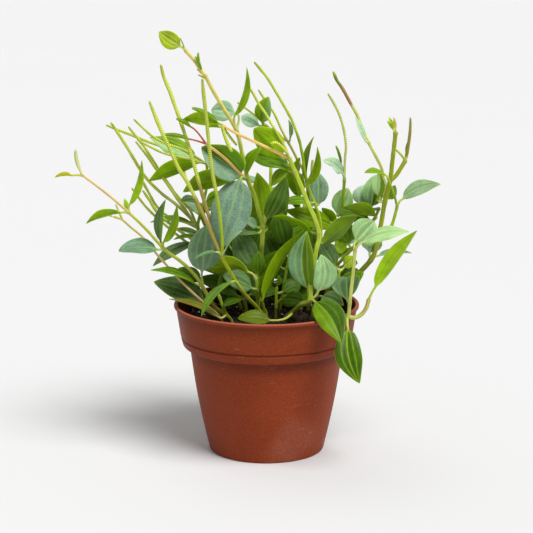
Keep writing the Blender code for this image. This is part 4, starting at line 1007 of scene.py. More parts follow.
def add_tube(builder, route, reach, tip_reach, place, colours):
    """A closed tube: its radius at each row and angle, what it says there, and its colour at each row."""
    sides, ups = carried_frames(route)
    angles = round_angles(reach.shape[1])
    rings = (
        route[:, None, :]
        + sides[:, None, :] * (reach * np.cos(angles))[..., None]
        + ups[:, None, :] * (reach * np.sin(angles))[..., None]
    )
    direction = route[-1] - route[-2]
    tip = route[-1] + direction / np.linalg.norm(direction) * tip_reach
    colours = np.broadcast_to(with_alpha(colours)[:, None, :], (*reach.shape, 4))
    builder.loft(rings, route[0], tip, place=np.stack(np.broadcast_arrays(*place), axis=-1), tint=colours)


def add_stem(builder, points, thickness, joints, tints, draw):
    """A four-angled stem, swollen where leaves and branches leave it."""
    foot_tint, tip_tint, turn = tints
    route, runs = even_route(points, STEM_STEP)
    share = runs / runs[-1]
    swell = np.zeros(len(route))
    for joint in joints:
        at = runs[np.argmin(np.linalg.norm(route - row(joint), axis=1))]
        swell = np.maximum(swell, np.exp(-((runs - at) / JOINT_LENGTH) ** 2))
    wave, pace = STEM_WAVE
    radius = (thickness[0] + (thickness[1] - thickness[0]) * share) / 2
    radius = radius * (1 + JOINT_SWELL * swell) * (1 + wave * np.sin(runs * pace + draw.uniform(*PHASE)))
    angles = round_angles(STEM_SIDES)
    ridge = (0.5 + 0.5 * np.cos(RIDGE_COUNT * angles)) ** RIDGE_SHARPNESS
    form = RIDGE_FORM[0] + RIDGE_FORM[1] * ridge[None, :] * (1 - RIDGE_FADE * swell[:, None])
    blend = smooth_step((share - turn) / COLOUR_TURN + 0.5)[:, None]
    colours = (tint(foot_tint) * (1 - blend) + tint(tip_tint) * blend) * draw.uniform(*STEM_SHADE)
    place = (np.abs(angles - math.pi) / math.pi, runs[:, None], swell[:, None])
    add_tube(builder, route, radius[:, None] * form, thickness[1] * 0.5, place, colours)


def add_spike(builder, points, thickness, stalk_tint, body_kind, draw):
    """A flower spike: a smooth stalk, and a body closely set with tiny knobs."""
    route, runs = even_route(points, SPIKE_RING_STEP)
    share = runs / runs[-1]
    bare = LONG_BARE if runs[-1] > LONG_SPIKE else SHORT_BARE
    flowering = smooth_step((share - bare) / FLOWER_START)
    wide = SPIKE_STALK_WIDTH + (1 - SPIKE_STALK_WIDTH) * flowering
    past = (share - SPIKE_TIP[0]) / SPIKE_TIP[1]
    wave, pace = SPIKE_WAVE
    narrowing = 1 - TIP_NARROWING * np.clip(past, 0, 1) ** 2
    radius = thickness / 2 * wide * narrowing * (1 + wave * np.sin(runs * pace + draw.uniform(*PHASE)))
    turn = round_angles(SPIKE_SIDES)[None, :] * KNOB_STARTS + draw.uniform(*PHASE)
    climb = runs[:, None] * (math.tau / KNOB_CLIMB)
    knobs = np.cos(turn + climb) * np.cos(turn - climb * KNOB_SKEW)
    flowering = flowering[:, None]
    reach = radius[:, None] * (1 + KNOB_REACH * knobs * flowering)
    stalk = tint(stalk_tint)
    body = tint("spike") * draw.uniform(*STEM_SHADE)
    if body_kind == "pale":
        body = body * 0.5 + stalk * 0.5
    if body_kind == "bronze":
        green = smooth_step((share - BRONZE_END[0]) / BRONZE_END[1])[:, None]
        body = tint("bronze") * (1 - green) + tint("moss") * green
    tip_share = smooth_step(past)[:, None]
    colours = stalk * (1 - flowering) + body * flowering
    colours = colours * (1 - tip_share) + tint("spike tip") * tip_share
    add_tube(builder, route, reach, radius[-1], (knobs * flowering, 0.0, 0.0), colours)


def stalk_curve(root, base, along):
    """A bent line from the stem to the blade, which ends along the blade."""
    span = (base - root).length
    way = (base - root).normalized()
    first = root + (way * (1 - STALK_LEAN) - along * STALK_LEAN).normalized() * span * STALK_BEND
    second = base - along * span * STALK_BEND
    rows = []
    for i in range(STALK_ROWS):
        t = i / STALK_ROWS
        rows.append(tuple(
            root * (1 - t) ** 3 + first * 3 * t * (1 - t) ** 2 + second * 3 * t * t * (1 - t) + base * t ** 3
        ))
    return np.array(rows)


def stalk_rings(stalk, base, normal, across, up):
    """The rings of a leaf's stalk from one half of its outline, wider where it leaves the stem."""
    with_end = np.concatenate([stalk, [tuple(base)]])
    rings = []
    for i, point in enumerate(stalk):
        direction = Vector(with_end[i + 1] - point).normalized()
        up_row = turned_away(normal, direction)
        grown = 1.0 + STALK_FLARE * (1 - i / STALK_ROWS) ** 3
        middle = point + np.outer(across * grown, tuple(direction.cross(up_row)))
        rise = np.outer(up * grown, tuple(up_row))
        rings.append(np.concatenate([middle + rise, (middle - rise)[::-1]]))
    return np.array(rings)


def add_leaf(builder, choice, looks, red_stalk, roll_radius, draw):
    """A leaf: a round stalk that opens into a folded blade with sunken veins and a thin margin."""
    root, base, tip, width, turn, fold, bow = choice
    along, normal, side = blade_axes(base, tip, turn)
    length = (tip - base).length
    lift = math.radians(fold)
    across = np.concatenate([-LEAF_COLUMNS[::-1], LEAF_COLUMNS[1:]])
    count = int(min(max(length / ROW_LENGTH, LEAF_ROWS[0]), LEAF_ROWS[1]))
    even = np.linspace(0.0, 1.0, count + 1)[:-1]
    t = (1 - ROWS_AT_ENDS) * even + ROWS_AT_ENDS * (0.5 - 0.5 * np.cos(math.pi * even))
    pointed = MOST_POINTED - (width / length - SLIM_BLADE) * POINT_LOSS
    pointed = min(max(pointed, LEAST_POINTED), MOST_POINTED)
    half = blade_half_width(t, width)
    half = half * (1 - pointed * np.clip((t - POINT_START) / (1 - POINT_START), 0, 1) ** POINT_CURVE)
    stalk_radius = grown_thickness(STALK_THICKNESS, width) / 2
    half = np.sqrt(half ** 2 + (STALK_BLEND * stalk_radius * (1 - t) ** 3) ** 2)
    thick = grown_thickness(BLADE_THICKNESS, width)

    arch = (4 * t * (1 - t))[:, None]
    centre = row(base) + np.outer(t, row(tip - base)) + arch * row(normal * BLADE_ARCH * length + side * bow)
    down = t[:, None]
    s = across[None, :]
    h = half[:, None]
    size = np.abs(s)
    soft = FOLD_SOFTNESS
    fold_form = (np.sqrt(s * s + soft ** 2) - soft) / (math.sqrt(1 + soft ** 2) - soft)
    wave = draw.uniform(*WAVE_HEIGHT)
    wave = wave * np.sin(math.tau * (draw.uniform(*WAVE_COUNT) * down + draw.uniform(0, 1)) + s * WAVE_SLANT)
    z = h * (math.sin(lift) * fold_form + draw.uniform(*BULGE) * size * (1 - size) + wave * size ** 2)
    x = h * s * math.cos(lift)
    groove = np.zeros_like(z)
    for vein, depth in VEIN_GROOVES:
        groove = np.maximum(groove, depth * np.exp(-(((size - vein) * h) / GROOVE_REACH) ** 2))
    groove = groove * np.clip(h / FULL_GROOVES, 0.0, 1.0)
    thinned = 1 - EDGE_THINNING * size ** 2 - MARGIN_THINNING * size ** 8
    swell = thick / 2 * thinned * (1 - TIP_THINNING * down ** 3)
    keel = KEEL * np.exp(-((s * h) / KEEL_WIDTH) ** 2) * (1 - down)
    upper = z + swell - groove
    lower = z - swell - keel

    opened = smooth_step(t / (LONG_OPENING if length > LONG_LEAF else SHORT_OPENING))[:, None]
    round_x = stalk_radius * np.sin(math.pi / 2 * s)
    round_z = stalk_radius * STALK_FLATNESS * np.cos(math.pi / 2 * s) + SEAM
    if roll_radius:
        fullness = np.sin(math.pi * down ** ROLL_FORM) ** ROLL_FORM
        roll = stalk_radius + (roll_radius - stalk_radius) * fullness
        x = roll * np.sin(math.pi / 2 * s)
        upper = roll * np.cos(math.pi / 2 * s) + SEAM
        lower = -upper
        opened = np.ones_like(opened)
    x = round_x * (1 - opened) + x * opened
    upper = round_z * (1 - opened) + upper * opened
    lower = -round_z * (1 - opened) + lower * opened
    middle = centre[:, None, :] + x[..., None] * row(side)
    top = middle + upper[..., None] * row(normal)
    under = middle + lower[..., None] * row(normal)
    stalk = stalk_curve(root, base, along)
    blade = np.concatenate([top, under[:, ::-1, :]], axis=1)
    rings = np.concatenate([stalk_rings(stalk, base, normal, round_x[0], round_z[0]), blade])

    grid = rings.shape[:2]
    along_leaf = np.concatenate([np.linspace(*STALK_PLACES, STALK_ROWS), t])[:, None]
    half_widths = np.concatenate([np.full(STALK_ROWS, stalk_radius), half])[:, None]
    around = np.concatenate([across, across[::-1]])
    place = np.stack(np.broadcast_arrays(around, along_leaf, half_widths), axis=-1)
    face = np.concatenate([np.ones(len(across)), np.zeros(len(across))])
    *colours, clearness, painted_sheen = LEAF_LOOKS[looks[0]]
    upper_tint, vein_tint, under_tint = (np.array(srgb(*colour)) for colour in colours)
    other_tint, _, _, other_clearness, other_painted_sheen = LEAF_LOOKS[looks[-1]]
    shade = draw.uniform(*LEAF_SHADE)
    warm = draw.uniform(*LEAF_WARMTH)
    jitter = np.array([shade * warm, shade, shade / warm])
    # Painted light and shade: one half takes the other look's colour, as if lit differently from the first.
    other_half = smooth_step(place[..., :1] / HALVES_BLEND + 0.5)

    def between_halves(left, right):
        return left * (1 - other_half) + right * other_half

    uppers = between_halves(upper_tint, np.array(srgb(*other_tint))) * jitter
    unders = np.broadcast_to(under_tint * jitter, (*grid, 3))
    stalk_tint = tint("red") if red_stalk else vein_tint * 0.5 + tint("sage") * 0.5
    builder.loft(
        rings, stalk[0], tuple(tip),
        place=place,
        face=np.broadcast_to(face[None, :, None], (*grid, 1)),
        upper=with_alpha(uppers, between_halves(clearness, other_clearness)),
        under=with_alpha(unders, between_halves(painted_sheen, other_painted_sheen)),
        vein=with_alpha(np.broadcast_to(vein_tint, (*grid, 3))),
        stalk=with_alpha(np.broadcast_to(stalk_tint, (*grid, 3))),
    )


class StemPieces:
    """The pieces of one leafy stem: its leaves, its stems and its spikes."""

    def __init__(self, name):
        self.name = name
        self.draw = random.Random(name)
        self.solid = Solid(name)
        self.builders = {kind: Builder() for kind in ("foliage", "stem", "spike")}

    def stem(self, points, thickness, joints, tints):
        add_stem(self.builders["stem"], points, thickness, joints, tints, self.draw)

    def spike(self, points, thickness, stalk_tint, body_kind=None):
        add_spike(self.builders["spike"], points, thickness, stalk_tint, body_kind, self.draw)

    def leaf(self, leaf, looks, red_stalk=False, roll_radius=None):
        choice = self.solid.found_leaf(leaf)
        if choice is not None:
            add_leaf(self.builders["foliage"], choice, looks, red_stalk, roll_radius, self.draw)

    def finish(self, materials):
        for kind, builder in self.builders.items():
            if builder.count:
                piece = builder.object(f"{self.name}_{kind}", materials[kind])
                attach(piece, "root")
                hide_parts(self.name)


def build_plant(materials):
    """Fine leaves, stems and spikes for every leafy stem, each in the place that its solid holds."""
    for name, plan in LEAFY_STEMS.items():
        pieces = StemPieces(name)
        looks = LOOKS[name].split()
        stem_tints = STEM_TINTS.get(name, [PLAIN_STEM])
        stalk_tints = SPIKE_STALKS.get(name, ["leaf"])
        leaf_number = spike_number = 0
        for order, (whole, points, part) in enumerate(walk_stems(plan, foot_points(*plan.root))):
            joints = [points[leaf[0]] for leaf in part.leaves]
            joints += [points[branch.root] for branch in part.branches]
            pieces.stem(whole, part.thickness, joints, stem_tints[min(order, len(stem_tints) - 1)])
            for begin, places, thickness in part.spikes:
                places = [seen(place) for place in places]
                route = pieces.solid.found_spike(places, points[begin], thickness)
                stalk_tint = stalk_tints[min(spike_number, len(stalk_tints) - 1)]
                pieces.spike(route, thickness, stalk_tint, SPIKE_BODIES.get((name, spike_number)))
                spike_number += 1
            for begin, base, tip, *form in part.leaves:
                red_stalk = (name, leaf_number) in RED_STALKS
                roll_radius = ROLLED.get(name, {}).get(leaf_number)
                leaf = (points[begin], seen(base), seen(tip), *form)
                pieces.leaf(leaf, looks[leaf_number], red_stalk, roll_radius)
                leaf_number += 1
        pieces.finish(materials)
    for name, foot, points, leaves, spikes in rear_stems():
        pieces = StemPieces(name)
        pieces.stem(foot_points(*foot.xy) + points, REAR_THICKNESS, points, PLAIN_STEM)
        for route in spikes:
            pieces.spike(route, REAR_SPIKE_WIDTH, "leaf")
        for number, leaf in enumerate(leaves):
            pieces.leaf(leaf, REAR_LOOKS[number % len(REAR_LOOKS)])
        pieces.finish(materials)


# How much a surface shines, and the usual range of a noise, which is spread over another one
PLAIN_SHINE = 0.25
NOISE_RANGE = (0.3, 0.7)

# The veins in a leaf's colour: how far out, their width in millimetres and their strength. The last two are
# the pale halo round the middle and side veins.
VEIN_LOOKS = (
    (0.0, 0.85, 1.0), (SIDE_VEIN, 0.8, 0.62), (OUTER_VEIN, 0.45, 0.12),
    (0.0, 2.4, 0.2), (SIDE_VEIN, 1.9, 0.2),
)
VEIN_WOBBLE = 0.07
VALLEY = 0.24
# Painted sheen: a pale blue-grey colour that the silvery leaves take in a mottled pattern, standing in for
# the shine of the light on them.
PAINTED_SHEEN_COLOUR = srgb(160, 186, 168)
PAINTED_SHEEN_SHARE = 0.42

# Where painted shade darkens the pot's inner wall, and the colours of that painted shade, of the painted
# highlight on its lip and of its dust
WALL_SLOPE = (RIM_RADIUS - LIP_WIDTH - INNER_STEP_RADIUS) / (BAND_DROP - INNER_STEP_RISE)
WALL_ALLOWANCE = 0.4
WALL_START = (RIM_RADIUS - LIP_WIDTH + WALL_ALLOWANCE - WALL_SLOPE * POT_HEIGHT) * MM
POT_COLOURS = (srgb(132, 53, 23), srgb(142, 60, 28))
WALL_PAINTED_SHADE = srgb(44, 26, 18)
PAINTED_LIP_HIGHLIGHT = srgb(196, 122, 100)
DUST = srgb(196, 156, 140)

# The colours of scarred stem joints and of specks on the stems, and of the soil and what lies on it
JOINT_SCAR = srgb(150, 140, 70)
STEM_SPECK = srgb(176, 170, 110)
SOIL_COLOURS = (srgb(20, 15, 11), srgb(58, 42, 28))
SOIL_CRUMB = srgb(110, 84, 58)
PERLITE_COLOURS = (srgb(196, 190, 178), srgb(238, 236, 230))
BARK_COLOURS = (srgb(70, 46, 28), srgb(150, 108, 66))
FLOOR_COLOURS = ((0.65, 0.65, 0.65), (0.66, 0.66, 0.66))


class Nodes:
    """A material's node tree, with short names for the nodes it needs."""

    def __init__(self, name, roughness, **settings):
        self.material = bpy.data.materials.new(name)
        self.material.use_nodes = True
        self.tree = self.material.node_tree
        self.shader = self.tree.nodes["Principled BSDF"]
        settings = {"Roughness": roughness, "Specular_IOR_Level": PLAIN_SHINE, **settings}
        for key, value in settings.items():
            self.shader.inputs[key.replace("_", " ")].default_value = value

    def put(self, socket, value):
        if isinstance(value, bpy.types.NodeSocket):
            self.tree.links.new(value, socket)
        else:
            socket.default_value = value

    def node(self, kind, **settings):
        node = self.tree.nodes.new(kind)
        for key, value in settings.items():
            setattr(node, key, value)
        return node

    def math(self, operation, first, second=0.0, clamp=False):
        node = self.node("ShaderNodeMath", operation=operation, use_clamp=clamp)
        self.put(node.inputs[0], first)
        self.put(node.inputs[1], second)
        return node.outputs[0]

    def times(self, *values):
        product, *others = values
        for value in others:
            product = self.math("MULTIPLY", product, value)
        return product

    def plus(self, first, second):
        return self.math("ADD", first, second)

    def minus(self, first, second):
        return self.math("SUBTRACT", first, second)

    def most(self, first, second):
        return self.math("MAXIMUM", first, second)

    def apart(self, first, second):
        """How far two values are apart."""
        return self.math("ABSOLUTE", self.minus(first, second))

    def between(self, value, low, high, start=0.0, end=1.0):
        """A smooth change from start to end as the value goes from low to high."""
        node = self.node("ShaderNodeMapRange", interpolation_type="SMOOTHSTEP")
        for socket, number in zip(node.inputs, (value, low, high, start, end)):
            self.put(socket, number)
        return node.outputs[0]

    def spread(self, noise, start=0.0, end=1.0):
        """A noise's usual range spread from start to end."""
        return self.between(noise, *NOISE_RANGE, start, end)

    def mix(self, share, first, second, blend="MIX"):
        node = self.node("ShaderNodeMix", data_type="RGBA", blend_type=blend)
        self.put(node.inputs[0], share)
        for socket, colour in ((node.inputs[6], first), (node.inputs[7], second)):
            self.put(socket, (*colour, 1.0) if isinstance(colour, tuple) else colour)
        return node.outputs[2]

    def attribute(self, name, output="Color"):
        return self.node("ShaderNodeAttribute", attribute_name=name).outputs[output]

    def split(self, vector):
        node = self.node("ShaderNodeSeparateXYZ")
        self.put(node.inputs[0], vector)
        return node.outputs

    def join(self, x, y, z):
        node = self.node("ShaderNodeCombineXYZ")
        for socket, value in zip(node.inputs, (x, y, z)):
            self.put(socket, value)
        return node.outputs[0]

    def object_place(self, scale=(1.0, 1.0, 1.0)):
        mapping = self.node("ShaderNodeMapping")
        self.put(mapping.inputs["Vector"], self.node("ShaderNodeTexCoord").outputs["Object"])
        mapping.inputs["Scale"].default_value = scale
        return mapping.outputs[0]

    def texture(self, kind, vector, **settings):
        node = self.node(kind)
        self.put(node.inputs["Vector"], vector)
        for key, value in settings.items():
            node.inputs[key].default_value = value
        return node.outputs[0]

    def noise(self, vector, scale, detail=2.0, roughness=0.5):
        return self.texture("ShaderNodeTexNoise", vector, Scale=scale, Detail=detail, Roughness=roughness)

    def brightness(self, colour, factor):
        """The colour times a factor."""
        return self.mix(1.0, colour, self.join(factor, factor, factor), "MULTIPLY")

    def finish(self, colour, roughness=None, height=None, depth=0.0002, strength=1.0):
        """The material with its colour, its roughness where that varies, and its relief, depth in metres."""
        self.put(self.shader.inputs["Base Color"], colour)
        if roughness is not None:
            self.put(self.shader.inputs["Roughness"], roughness)
        if height is not None:
            bump = self.node("ShaderNodeBump")
            bump.inputs["Strength"].default_value = strength
            bump.inputs["Distance"].default_value = depth
            self.put(bump.inputs["Height"], height)
            self.put(self.shader.inputs["Normal"], bump.outputs[0])
        return self.material


def leaf_material():
    """A leaf: place holds how far across and along it a point is and the half width, in millimetres."""
    nodes = Nodes(
        "living leaf", 0.42, Subsurface_Weight=0.4, Subsurface_Scale=0.0022,
        Subsurface_Radius=(1.0, 1.0, 0.2), Specular_IOR_Level=0.16,
    )
    across, t, half = nodes.split(nodes.attribute("place", "Vector"))
    size = nodes.math("ABSOLUTE", across)
    face = nodes.attribute("face", "Fac")
    painted_sheen = nodes.times(nodes.attribute("under", "Alpha"), face)
    clear = nodes.attribute("upper", "Alpha")
    vein_tint = nodes.attribute("vein")
    where = nodes.object_place()

    wobble = nodes.times(nodes.minus(nodes.noise(where, 90.0), 0.5), VEIN_WOBBLE)
    taper = nodes.between(t, 0.2, 1.0, 1.0, 0.45)
    veins = 0.0
    for out, width, share in VEIN_LOOKS:
        gap = nodes.times(nodes.apart(size, nodes.plus(wobble, out) if out else 0.0), half)
        line = nodes.between(nodes.math("DIVIDE", gap, taper), width * 0.15, width, 1.0, 0.0)
        veins = nodes.most(veins, nodes.times(line, share))
    veins = nodes.times(veins, nodes.spread(nodes.noise(where, 260.0, 2.0), 0.7, 1.15))
    strength = nodes.times(clear, nodes.between(face, 0.0, 1.0, 0.5, 1.0))
    strength = nodes.math("MULTIPLY", veins, strength, clamp=True)

    coarse = nodes.noise(where, 70.0, 3.0, 0.6)
    fine = nodes.noise(where, 1100.0, 3.0, 0.6)
    grain = nodes.plus(nodes.between(coarse, 0.28, 0.72, 0.74, 1.24), nodes.spread(fine, -0.07, 0.07))
    valley = nodes.between(nodes.apart(size, VALLEY), 0.0, 0.22, 0.86, 1.0)
    blade = nodes.mix(face, nodes.attribute("under"), nodes.attribute("upper"))
    blade = nodes.brightness(blade, nodes.times(grain, valley))
    # Painted sheen: mottled patches of a pale silvery colour on the upper faces of the silvery looks.
    mottle = nodes.times(nodes.between(fine, 0.38, 0.66), nodes.between(coarse, 0.3, 0.65, 0.35, 1.0))
    blade = nodes.mix(nodes.times(mottle, painted_sheen, PAINTED_SHEEN_SHARE), blade, PAINTED_SHEEN_COLOUR)
    colour = nodes.mix(strength, blade, vein_tint)
    # Painted highlight: a pale band along the margin, where the edge catches the light.
    edge = nodes.times(nodes.minus(1.0, size), half)
    colour = nodes.mix(nodes.times(nodes.between(edge, 0.08, 0.45, 1.0, 0.0), 0.4), colour, vein_tint)
    colour = nodes.mix(nodes.between(t, 0.0, 0.10, 0.6, 0.0), colour, vein_tint)
    colour = nodes.mix(nodes.between(t, -0.03, 0.03, 1.0, 0.0), colour, nodes.attribute("stalk"))
    height = nodes.minus(nodes.times(fine, 0.5), nodes.times(veins, 0.6))
    rough = nodes.plus(nodes.between(face, 0.0, 1.0, 0.52, 0.36), nodes.spread(fine, -0.05, 0.06))
    return nodes.finish(colour, rough, height, 0.0003, 0.7)


def stem_material():
    """A stem: place holds how far round it a point is, how far along in millimetres, and its swelling."""
    nodes = Nodes("living stem", 0.45, Subsurface_Weight=0.06, Subsurface_Scale=0.001)
    around, run, joint = nodes.split(nodes.attribute("place", "Vector"))
    where = nodes.object_place()
    streaks = nodes.noise(nodes.join(nodes.times(around, 14.0), nodes.times(run, 0.12), 0.0), 1.0, 3.0)
    patches = nodes.noise(where, 130.0, 3.0)
    factor = nodes.plus(nodes.between(streaks, 0.32, 0.68, 0.78, 1.12), nodes.spread(patches, -0.08, 0.08))
    # Painted light and shade: the ridges are lighter and the furrows between them darker.
    ridge = nodes.math("COSINE", nodes.times(around, RIDGE_COUNT * math.pi))
    factor = nodes.plus(factor, nodes.between(ridge, -0.4, 1.0, -0.08, 0.14))
    colour = nodes.brightness(nodes.attribute("tint"), factor)
    colour = nodes.mix(nodes.between(joint, 0.3, 1.0, 0.0, 0.4), colour, JOINT_SCAR)
    specks = nodes.between(nodes.noise(where, 900.0, 2.0), 0.62, 0.72, 0.0, 0.35)
    colour = nodes.mix(specks, colour, STEM_SPECK)
    return nodes.finish(colour, nodes.spread(patches, 0.4, 0.52), streaks, 0.00015, 0.5)


def spike_material():
    """A flower spike, with painted shade between its knobs and painted light on their tops: place holds how
    high on one a point is.
    """
    nodes = Nodes("flower spike", 0.55, Subsurface_Weight=0.05, Subsurface_Scale=0.001)
    knob = nodes.split(nodes.attribute("place", "Vector"))[0]
    where = nodes.object_place()
    patches = nodes.noise(where, 160.0, 3.0)
    # Painted light and shade: the knob tops are lighter and the hollows between them darker.
    shade = nodes.plus(nodes.between(knob, -0.6, 0.7, 0.54, 1.36), nodes.spread(patches, -0.06, 0.06))
    fine = nodes.noise(where, 1500.0, 2.0)
    colour = nodes.brightness(nodes.attribute("tint"), shade)
    return nodes.finish(colour, nodes.spread(fine, 0.5, 0.62), fine, 0.0001, 0.4)


def pot_material():
    """Matt plastic, with painted shade in the groove, under the band and the lip and on the inner wall, and a
    painted highlight on the lip.
    """
    nodes = Nodes("moulded pot plastic", 0.5, Specular_IOR_Level=0.12)
    where = nodes.object_place()
    grain = nodes.noise(where, 1100.0, 3.0, 0.75)
    cloud = nodes.noise(where, 22.0, 4.0, 0.6)
    across, along, height = nodes.split(where)
    rim, band, lip = POT_HEIGHT * MM, BAND_FOOT * MM, LIP_FOOT * MM
    colour = nodes.mix(nodes.spread(cloud), *POT_COLOURS)
    colour = nodes.brightness(colour, nodes.spread(grain, 0.76, 1.22))

    # Painted shade: the groove, the step under the band and the underside of the lip are darkened in the
    # colour, as if in shadow.
    painted_shade = nodes.between(nodes.apart(height, GROOVE * MM), 0.0003, 0.0012, 0.62, 1.0)
    under_band = nodes.between(height, band - 0.011, band - 0.001, 1.0, 0.62)
    painted_shade = nodes.times(painted_shade, nodes.most(under_band, nodes.between(height, band - 0.0012, band - 0.0002)))
    under_lip = nodes.between(height, lip - 0.010, lip, 1.0, 0.7)
    painted_shade = nodes.times(painted_shade, nodes.most(under_lip, nodes.between(height, lip - 0.0001, lip + 0.0006)))
    painted_shade = nodes.times(painted_shade, nodes.between(height, band - 0.001, band, 1.0, 0.93))
    colour = nodes.brightness(colour, painted_shade)

    # Painted shade: the inner wall is darkened to a blackish brown, where it lies in the plant's shadow.
    radius = nodes.math("SQRT", nodes.plus(nodes.times(across, across), nodes.times(along, along)))
    outwards = nodes.minus(radius, nodes.plus(nodes.times(height, WALL_SLOPE), WALL_START))
    inside = nodes.times(
        nodes.between(outwards, -0.0003, 0.0003, 1.0, 0.0), nodes.spread(cloud, 0.6, 0.85),
        nodes.between(height, rim - 0.005, rim - 0.001, 1.0, 0.0),
        nodes.between(height, band + 0.001, band + 0.004),
    )
    colour = nodes.mix(inside, colour, WALL_PAINTED_SHADE)
    # Painted highlight: a pale band along the top of the lip, where it catches the light.
    colour = nodes.mix(nodes.between(height, rim - 0.0009, rim, 0.0, 0.45), colour, PAINTED_LIP_HIGHLIGHT)

    streaks = nodes.between(nodes.noise(nodes.object_place((90.0, 90.0, 420.0)), 1.0, 3.0, 0.7), 0.6, 0.74)
    area = nodes.between(nodes.noise(where, 26.0, 2.0), 0.5, 0.68)
    colour = nodes.mix(nodes.times(streaks, area, 0.32), colour, DUST)
    patches = nodes.between(nodes.noise(where, 17.0, 2.0), 0.56, 0.72)
    colour = nodes.mix(nodes.times(patches, nodes.between(grain, 0.35, 0.7, 0.5, 1.0), 0.16), colour, DUST)
    rough = nodes.plus(nodes.spread(cloud, 0.48, 0.58), nodes.spread(grain, -0.06, 0.06))
    return nodes.finish(colour, rough, grain, 0.0004, 0.7)


def soil_material():
    nodes = Nodes("damp potting soil", 0.92)
    where = nodes.object_place()
    damp = nodes.between(nodes.noise(where, 260.0, 4.0, 0.7), 0.35, 0.7)
    colour = nodes.mix(damp, *SOIL_COLOURS)
    crumbs = nodes.between(nodes.noise(where, 900.0, 2.0), 0.66, 0.74, 0.0, 0.6)
    colour = nodes.mix(crumbs, colour, SOIL_CRUMB)
    return nodes.finish(colour, None, nodes.noise(where, 700.0, 4.0, 0.7), 0.0006, 0.8)


def perlite_material():
    nodes = Nodes("perlite", 0.85)
    pores = nodes.texture("ShaderNodeTexVoronoi", nodes.object_place(), Scale=1800.0)
    colour = nodes.mix(nodes.between(pores, 0.05, 0.5), *PERLITE_COLOURS)
    return nodes.finish(colour, None, pores, 0.0003, 0.6)


def bark_material():
    nodes = Nodes("bark chips", 0.85)
    fibres = nodes.noise(nodes.object_place((1.0, 0.3, 1.0)), 900.0, 3.0)
    colour = nodes.mix(nodes.spread(fibres), *BARK_COLOURS)
    return nodes.finish(colour, None, fibres, 0.0003, 0.7)


# How finely the turned surfaces are made, and the reach of a corner's rounding along a short edge
CORNER_STEPS = 5
CORNER_SHARE = 0.45
POT_SIDES = 144
POT_SIDE_HEIGHTS = np.linspace(2.2, BAND_FOOT - 6.0, 14)
DRAIN_SIDES = 28
SHARP_ANGLE = math.radians(38)

# The soil's top and what lies on it: (count, smallest and largest size, flatness)
SOIL_SIDES = 132
SOIL_RING_SHARES = np.linspace(0.985, 0.02, 44)
CRUMB_WAVES = ((1.1, 0.7, 0.3, 0.35), (-0.8, 1.3, 2.0, 0.3), (2.3, -1.9, 1.1, 0.2), (1.7, 2.9, 4.0, 0.15))
CRUMB_NOISE = (-0.25, 0.25)
LUMP_COUNT = 8
LUMP_ROUGHNESS = 0.16
LUMP_WAVES = 5
LUMP_PACE = (1.5, 4.0)
LUMP_WIDTH = (0.6, 0.95)
LUMP_RISE = 0.25
CRUMBS = (900, (0.5, 1.7), (0.5, 0.9))
PERLITE = (46, (0.7, 1.6), (0.6, 0.9))
BARK = (60, (1.0, 2.6), (0.18, 0.35))
PERLITE_SPOTS = [(-28, 23), (1, 38), (4, 36), (18, -34), (-6, -40), (30, 30), (40, -22), (-36, -24), (8, -47)]
SCATTER_RADIUS = 52.5
SOIL_SEED = 5


def rounded_outline(corners):
    """An outline whose corners (radius, height, how far the rounding reaches) are short curves."""
    points = []
    for i, (radius, height, reach) in enumerate(corners):
        here = np.array([radius, height])
        if reach == 0 or i in (0, len(corners) - 1):
            points.append(here)
            continue
        before = np.array(corners[i - 1][:2]) - here
        after = np.array(corners[i + 1][:2]) - here
        start = here + before * min(CORNER_SHARE, reach / np.linalg.norm(before))
        end = here + after * min(CORNER_SHARE, reach / np.linalg.norm(after))
        for k in range(CORNER_STEPS + 1):
            t = k / CORNER_STEPS
            points.append(start * (1 - t) ** 2 + here * 2 * t * (1 - t) + end * t ** 2)
    return points


def turned(outline, sides):
    """The rings of a solid turned from an outline, and the points on the axis that close its two ends."""
    angles = round_angles(sides)
    rings = np.array([
        np.stack([radius * np.cos(angles), radius * np.sin(angles), np.full(sides, height)], axis=-1)
        for radius, height in outline
    ])
    return rings, (0.0, 0.0, outline[0][1]), (0.0, 0.0, outline[-1][1])


def cut_drains(pot, material):
    """Cuts the drain holes into the pot's floor."""
    outline = [(DRAIN_RADIUS, -DRAIN_EXCESS), (DRAIN_RADIUS, FLOOR_HEIGHT + WALL + DRAIN_EXCESS)]
    cutters = bpy.data.collections.new("drain cutters")
    bpy.context.scene.collection.children.link(cutters)
    for k in range(DRAIN_COUNT):
        angle = math.tau * k / DRAIN_COUNT
        rings, first, last = turned(outline, DRAIN_SIDES)
        shift = np.array([DRAIN_CIRCLE * math.cos(angle), DRAIN_CIRCLE * math.sin(angle), 0.0])
        cutter = Builder()
        cutter.loft(rings + shift, np.array(first) + shift, np.array(last) + shift)
        obj = cutter.object(f"drain_{k}", material)
        bpy.context.scene.collection.objects.unlink(obj)
        cutters.objects.link(obj)
    modifier = pot.modifiers.new("Drains", "BOOLEAN")
    modifier.operation = "DIFFERENCE"
    modifier.operand_type = "COLLECTION"
    modifier.collection = cutters
    modifier.solver = "MANIFOLD"
    graph = bpy.context.evaluated_depsgraph_get()
    mesh = bpy.data.meshes.new_from_object(pot.evaluated_get(graph))
    pot.modifiers.clear()
    pot.data = mesh
    for obj in list(cutters.objects):
        bpy.data.objects.remove(obj, do_unlink=True)
    bpy.data.collections.remove(cutters)
    mesh.shade_smooth()
    mesh.set_sharp_from_angle(angle=SHARP_ANGLE)


